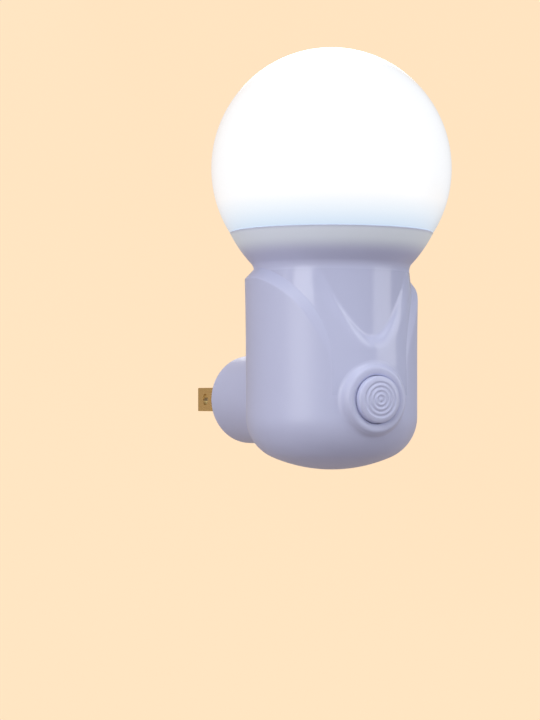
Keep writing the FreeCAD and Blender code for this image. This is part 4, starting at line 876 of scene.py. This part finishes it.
# %% Where it is polished
ABOVE_ALL_ANGLES = 4.0  # more than half a turn, so every face counts as in front of it
POLISH_TOP_Z = ROUND_LOW_Z - 0.5
SKIN_DEPTH = 0.4
centres = np.empty(len(housing.data.polygons) * 3)
housing.data.polygons.foreach_get("center", centres)
x, y, height = (centres.reshape(-1, 3) / MM).T
angle = np.abs(np.arctan2(x, -(y - AXIS_Y)))
climb = np.clip((height - WRAP_LOW_Z) / WRAP_RISE, 0, 1)
edge_at = WRAP_PEAK - WRAP_REACH * (1 - climb**WRAP_ROUNDNESS) ** (1 / WRAP_ROUNDNESS)
edge_at = np.where(height < WRAP_LOW_Z, WRAP_FRONT, edge_at)
edge_at = np.where(height > WRAP_TOP_Z, ABOVE_ALL_ANGLES, edge_at)
outside = np.hypot(x, y - AXIS_Y) > NECK_R - SKIN_DEPTH
clear_of_button = np.hypot(x, height) >= SURROUND_R
shiny = (angle < edge_at) & (height > VEST_LOW_Z) & (height < POLISH_TOP_Z) & outside & clear_of_button
housing.data.polygons.foreach_set("material_index", shiny.astype(np.int32))
print("polished faces", int(shiny.sum()), "of", len(shiny))

# %% [markdown]
# ## The lit ball
# The ball is opal plastic with the lamps on inside. Its light is even and white, and turns pale
# blue just above the cup. Real lamps behind a scattering wall would need many more samples to
# look as even, so the surface itself gives the light. The clear coat over it reflects more at a
# flat angle and lets less light out there, which leaves a thin grey ring round the edge.

# %% The lit ball
BLUE_HIGH = 7.5
BLUE_STOPS = [(0.0, srgb(206, 226, 245)), (0.5, srgb(234, 243, 251)), (1.0, (1, 1, 1, 1))]
opal = moulded("opal_lit", (110, 116, 124), 0.3, 1800.0, 0.000003, 0.01)
opal_shader = opal.node_tree.nodes["Principled BSDF"]
light = colour_by_height(opal.node_tree, RIM_Z, RIM_Z + BLUE_HIGH, BLUE_STOPS, "LINEAR")
opal.node_tree.links.new(light, opal_shader.inputs["Emission Color"])
opal_shader.inputs["Emission Strength"].default_value = 0.9
opal_shader.inputs["Coat Weight"].default_value = 1.0
opal_shader.inputs["Coat Roughness"].default_value = 0.25
ball.data.materials.append(opal)
print("the ball is lit by", opal.name)

# %% [markdown]
# ## The measured solids
# The solids of the measured model need the same finishes as the pieces made here. They could be
# given by hand, one by one, and a slip would be easy. The model's record says what each solid is
# made of, so one loop looks it up.

# %% Give every solid its finish
slot_of = {part["node"]: part["material_slot"] for part in frame["record"]["subparts"]}
looks["housing"], looks["diffuser"] = satin, opal
for name, solid in nodes.items():
    solid.data.materials.clear()
    solid.data.materials.append(looks[slot_of[name]])
print("solids finished:", len(nodes))

# %% [markdown]
# ## Floor and backdrop
# The studio is plain: a pale floor that curves up into a backdrop. A flat plane would show a hard
# horizon, so the sheet's side view is a line, a quarter circle and a line.

# %% The floor's mesh
FLOOR_Z, BACK_Y, FLOOR_CURVE, FRONT_Y, TOP_Z, HALF_WIDE = -0.16, 0.75, 0.35, -5.0, 1.6, 4.0
rise = np.radians(np.linspace(0, 90, 24))
line_y = np.concatenate([[FRONT_Y], BACK_Y - FLOOR_CURVE + FLOOR_CURVE * np.sin(rise), [BACK_Y]])
line_z = np.concatenate([[FLOOR_Z], FLOOR_Z + FLOOR_CURVE - FLOOR_CURVE * np.cos(rise), [TOP_Z]])
line_x = np.linspace(-HALF_WIDE, HALF_WIDE, 3)
floor_sheet = np.stack(np.broadcast_arrays(line_x, line_y[:, None], line_z[:, None]), axis=-1)
floor_mesh = bpy.data.meshes.new("floor")
floor_faces = sheet_faces(*floor_sheet.shape[:2], 0)
floor_mesh.from_pydata(floor_sheet.reshape(-1, 3).tolist(), [], floor_faces.tolist())
floor_mesh.polygons.foreach_set("use_smooth", np.ones(len(floor_mesh.polygons), bool))
floor = bpy.data.objects.new("floor", floor_mesh)
bpy.context.scene.collection.objects.link(floor)
floor.rotation_euler = (0, 0, math.radians(30))
print("floor at", FLOOR_Z, "m")

# %% [markdown]
# ## The backdrop's colour
# A backdrop that is lit only by lamps is hard to keep even. Here the camera sees nine parts of a
# plain colour and one part of the lit surface, so it stays pale without extra light. Reflections
# see three parts in ten, and the light that bounces off it comes from the lit surface alone.

# %% The backdrop's colour
BACKDROP = srgb(255, 226, 190)
BACKDROP_STRENGTH, SEEN_SHARE, MIRRORED_SHARE = 1.12, 0.9, 0.3
backdrop = bpy.data.materials.new("backdrop")
backdrop.use_nodes = True
tree = backdrop.node_tree
surface = tree.nodes["Principled BSDF"]
surface.inputs["Base Color"].default_value = srgb(152, 146, 150)
surface.inputs["Roughness"].default_value = 0.9
surface.inputs["Specular IOR Level"].default_value = 0.0
plain = new_node(tree, "ShaderNodeEmission", {"Color": BACKDROP, "Strength": BACKDROP_STRENGTH})
path = tree.nodes.new("ShaderNodeLightPath")
mirrored = combined(tree, "MULTIPLY", path.outputs["Is Glossy Ray"], MIRRORED_SHARE)
seen = combined(tree, "MULTIPLY", path.outputs["Is Camera Ray"], SEEN_SHARE)
mix = tree.nodes.new("ShaderNodeMixShader")
tree.links.new(combined(tree, "MAXIMUM", seen, mirrored), mix.inputs[0])
tree.links.new(surface.outputs[0], mix.inputs[1])
tree.links.new(plain.outputs[0], mix.inputs[2])
tree.links.new(mix.outputs[0], tree.nodes["Material Output"].inputs["Surface"])
floor.data.materials.append(backdrop)
print("backdrop colour", [round(v, 2) for v in BACKDROP[:3]])

# %% [markdown]
# ## Beyond the floor
# The rest of the studio is one even, cool light from all round, which lifts the shadows. An image
# of a room would put shapes in the polished front that aren't wanted. The camera sees the
# backdrop's colour there.

# %% Beyond the floor
world = bpy.data.worlds.new("studio")
bpy.context.scene.world = world
world.use_nodes = True
tree = world.node_tree
sky = tree.nodes["Background"]
sky.inputs["Color"].default_value = (0.93, 0.95, 1.0, 1)
sky.inputs["Strength"].default_value = 0.43
behind = new_node(tree, "ShaderNodeBackground", {"Color": BACKDROP})
path = tree.nodes.new("ShaderNodeLightPath")
mix = tree.nodes.new("ShaderNodeMixShader")
tree.links.new(path.outputs["Is Camera Ray"], mix.inputs[0])
tree.links.new(sky.outputs[0], mix.inputs[1])
tree.links.new(behind.outputs[0], mix.inputs[2])
tree.links.new(mix.outputs[0], tree.nodes["World Output"].inputs["Surface"])
print("even light of strength", sky.inputs["Strength"].default_value)

# %% [markdown]
# ## Windows of light
# Two tall windows stand to the left and right, where the polished front mirrors them as upright
# bands. Softer ones fill the left side and the back, and one hangs above. Area lights are used
# because their reflections have the shape of a real window, which a point light's don't.

# %% Windows of light
LIGHT_TARGET = Vector((0, AXIS_Y * MM, 0.02))


def light_window(name, azimuth, elevation, distance, wide, tall, watts):
    """A rectangular light that faces the lamp's middle. Its direction is in degrees from the
    front of the lamp and above the floor."""
    turn, lift = math.radians(azimuth), math.radians(elevation)
    away = Vector((math.sin(turn) * math.cos(lift), -math.cos(turn) * math.cos(lift), math.sin(lift)))
    data = bpy.data.lights.new(name, "AREA")
    data.shape = "RECTANGLE"
    data.size, data.size_y, data.energy = wide, tall, watts
    window = bpy.data.objects.new(name, data)
    window.location = LIGHT_TARGET + away * distance
    window.rotation_mode = "QUATERNION"
    window.rotation_quaternion = away.to_track_quat("Z", "Y")
    bpy.context.scene.collection.objects.link(window)
    print(name, "at", [round(v, 2) for v in window.location])


light_window("left_window", -71, 12, 1.0, 0.55, 0.9, 5.2)
light_window("right_window", 50, 12, 1.0, 0.6, 0.9, 3.5)
light_window("side_fill", -118, 0, 1.1, 0.7, 0.7, 5.0)
light_window("back_fill", 160, 35, 1.2, 0.8, 0.8, 5.0)
light_window("top_window", -25, 62, 1.1, 0.8, 0.8, 4.6)

# %% [markdown]
# ## The camera
# The camera looks level from 30 degrees to the left, half a metre away, with a long lens. The
# lamp isn't in the middle of the picture. Turning the camera would tilt its upright lines, so a
# small shift of the lens places it instead.

# %% The camera
CAMERA_AT, CAMERA_TURN = (-0.250, -0.477, 0.0), math.radians(-30)
LONG_SIDE_PX, AXIS_RIGHT_PX, HORIZON_DOWN_PX = 720, 61.5, 39.5
camera_data = bpy.data.cameras.new("camera")
camera_data.lens, camera_data.sensor_width = 100.0, 36.0
camera_data.shift_x, camera_data.shift_y = -AXIS_RIGHT_PX / LONG_SIDE_PX, HORIZON_DOWN_PX / LONG_SIDE_PX
camera = bpy.data.objects.new("camera", camera_data)
camera.location = CAMERA_AT
camera.rotation_euler = (math.radians(90), 0, CAMERA_TURN)
bpy.context.scene.collection.objects.link(camera)
bpy.context.scene.camera = camera
bpy.context.scene.view_settings.view_transform = "Standard"
print("camera", tuple(round(v, 3) for v in camera.location))
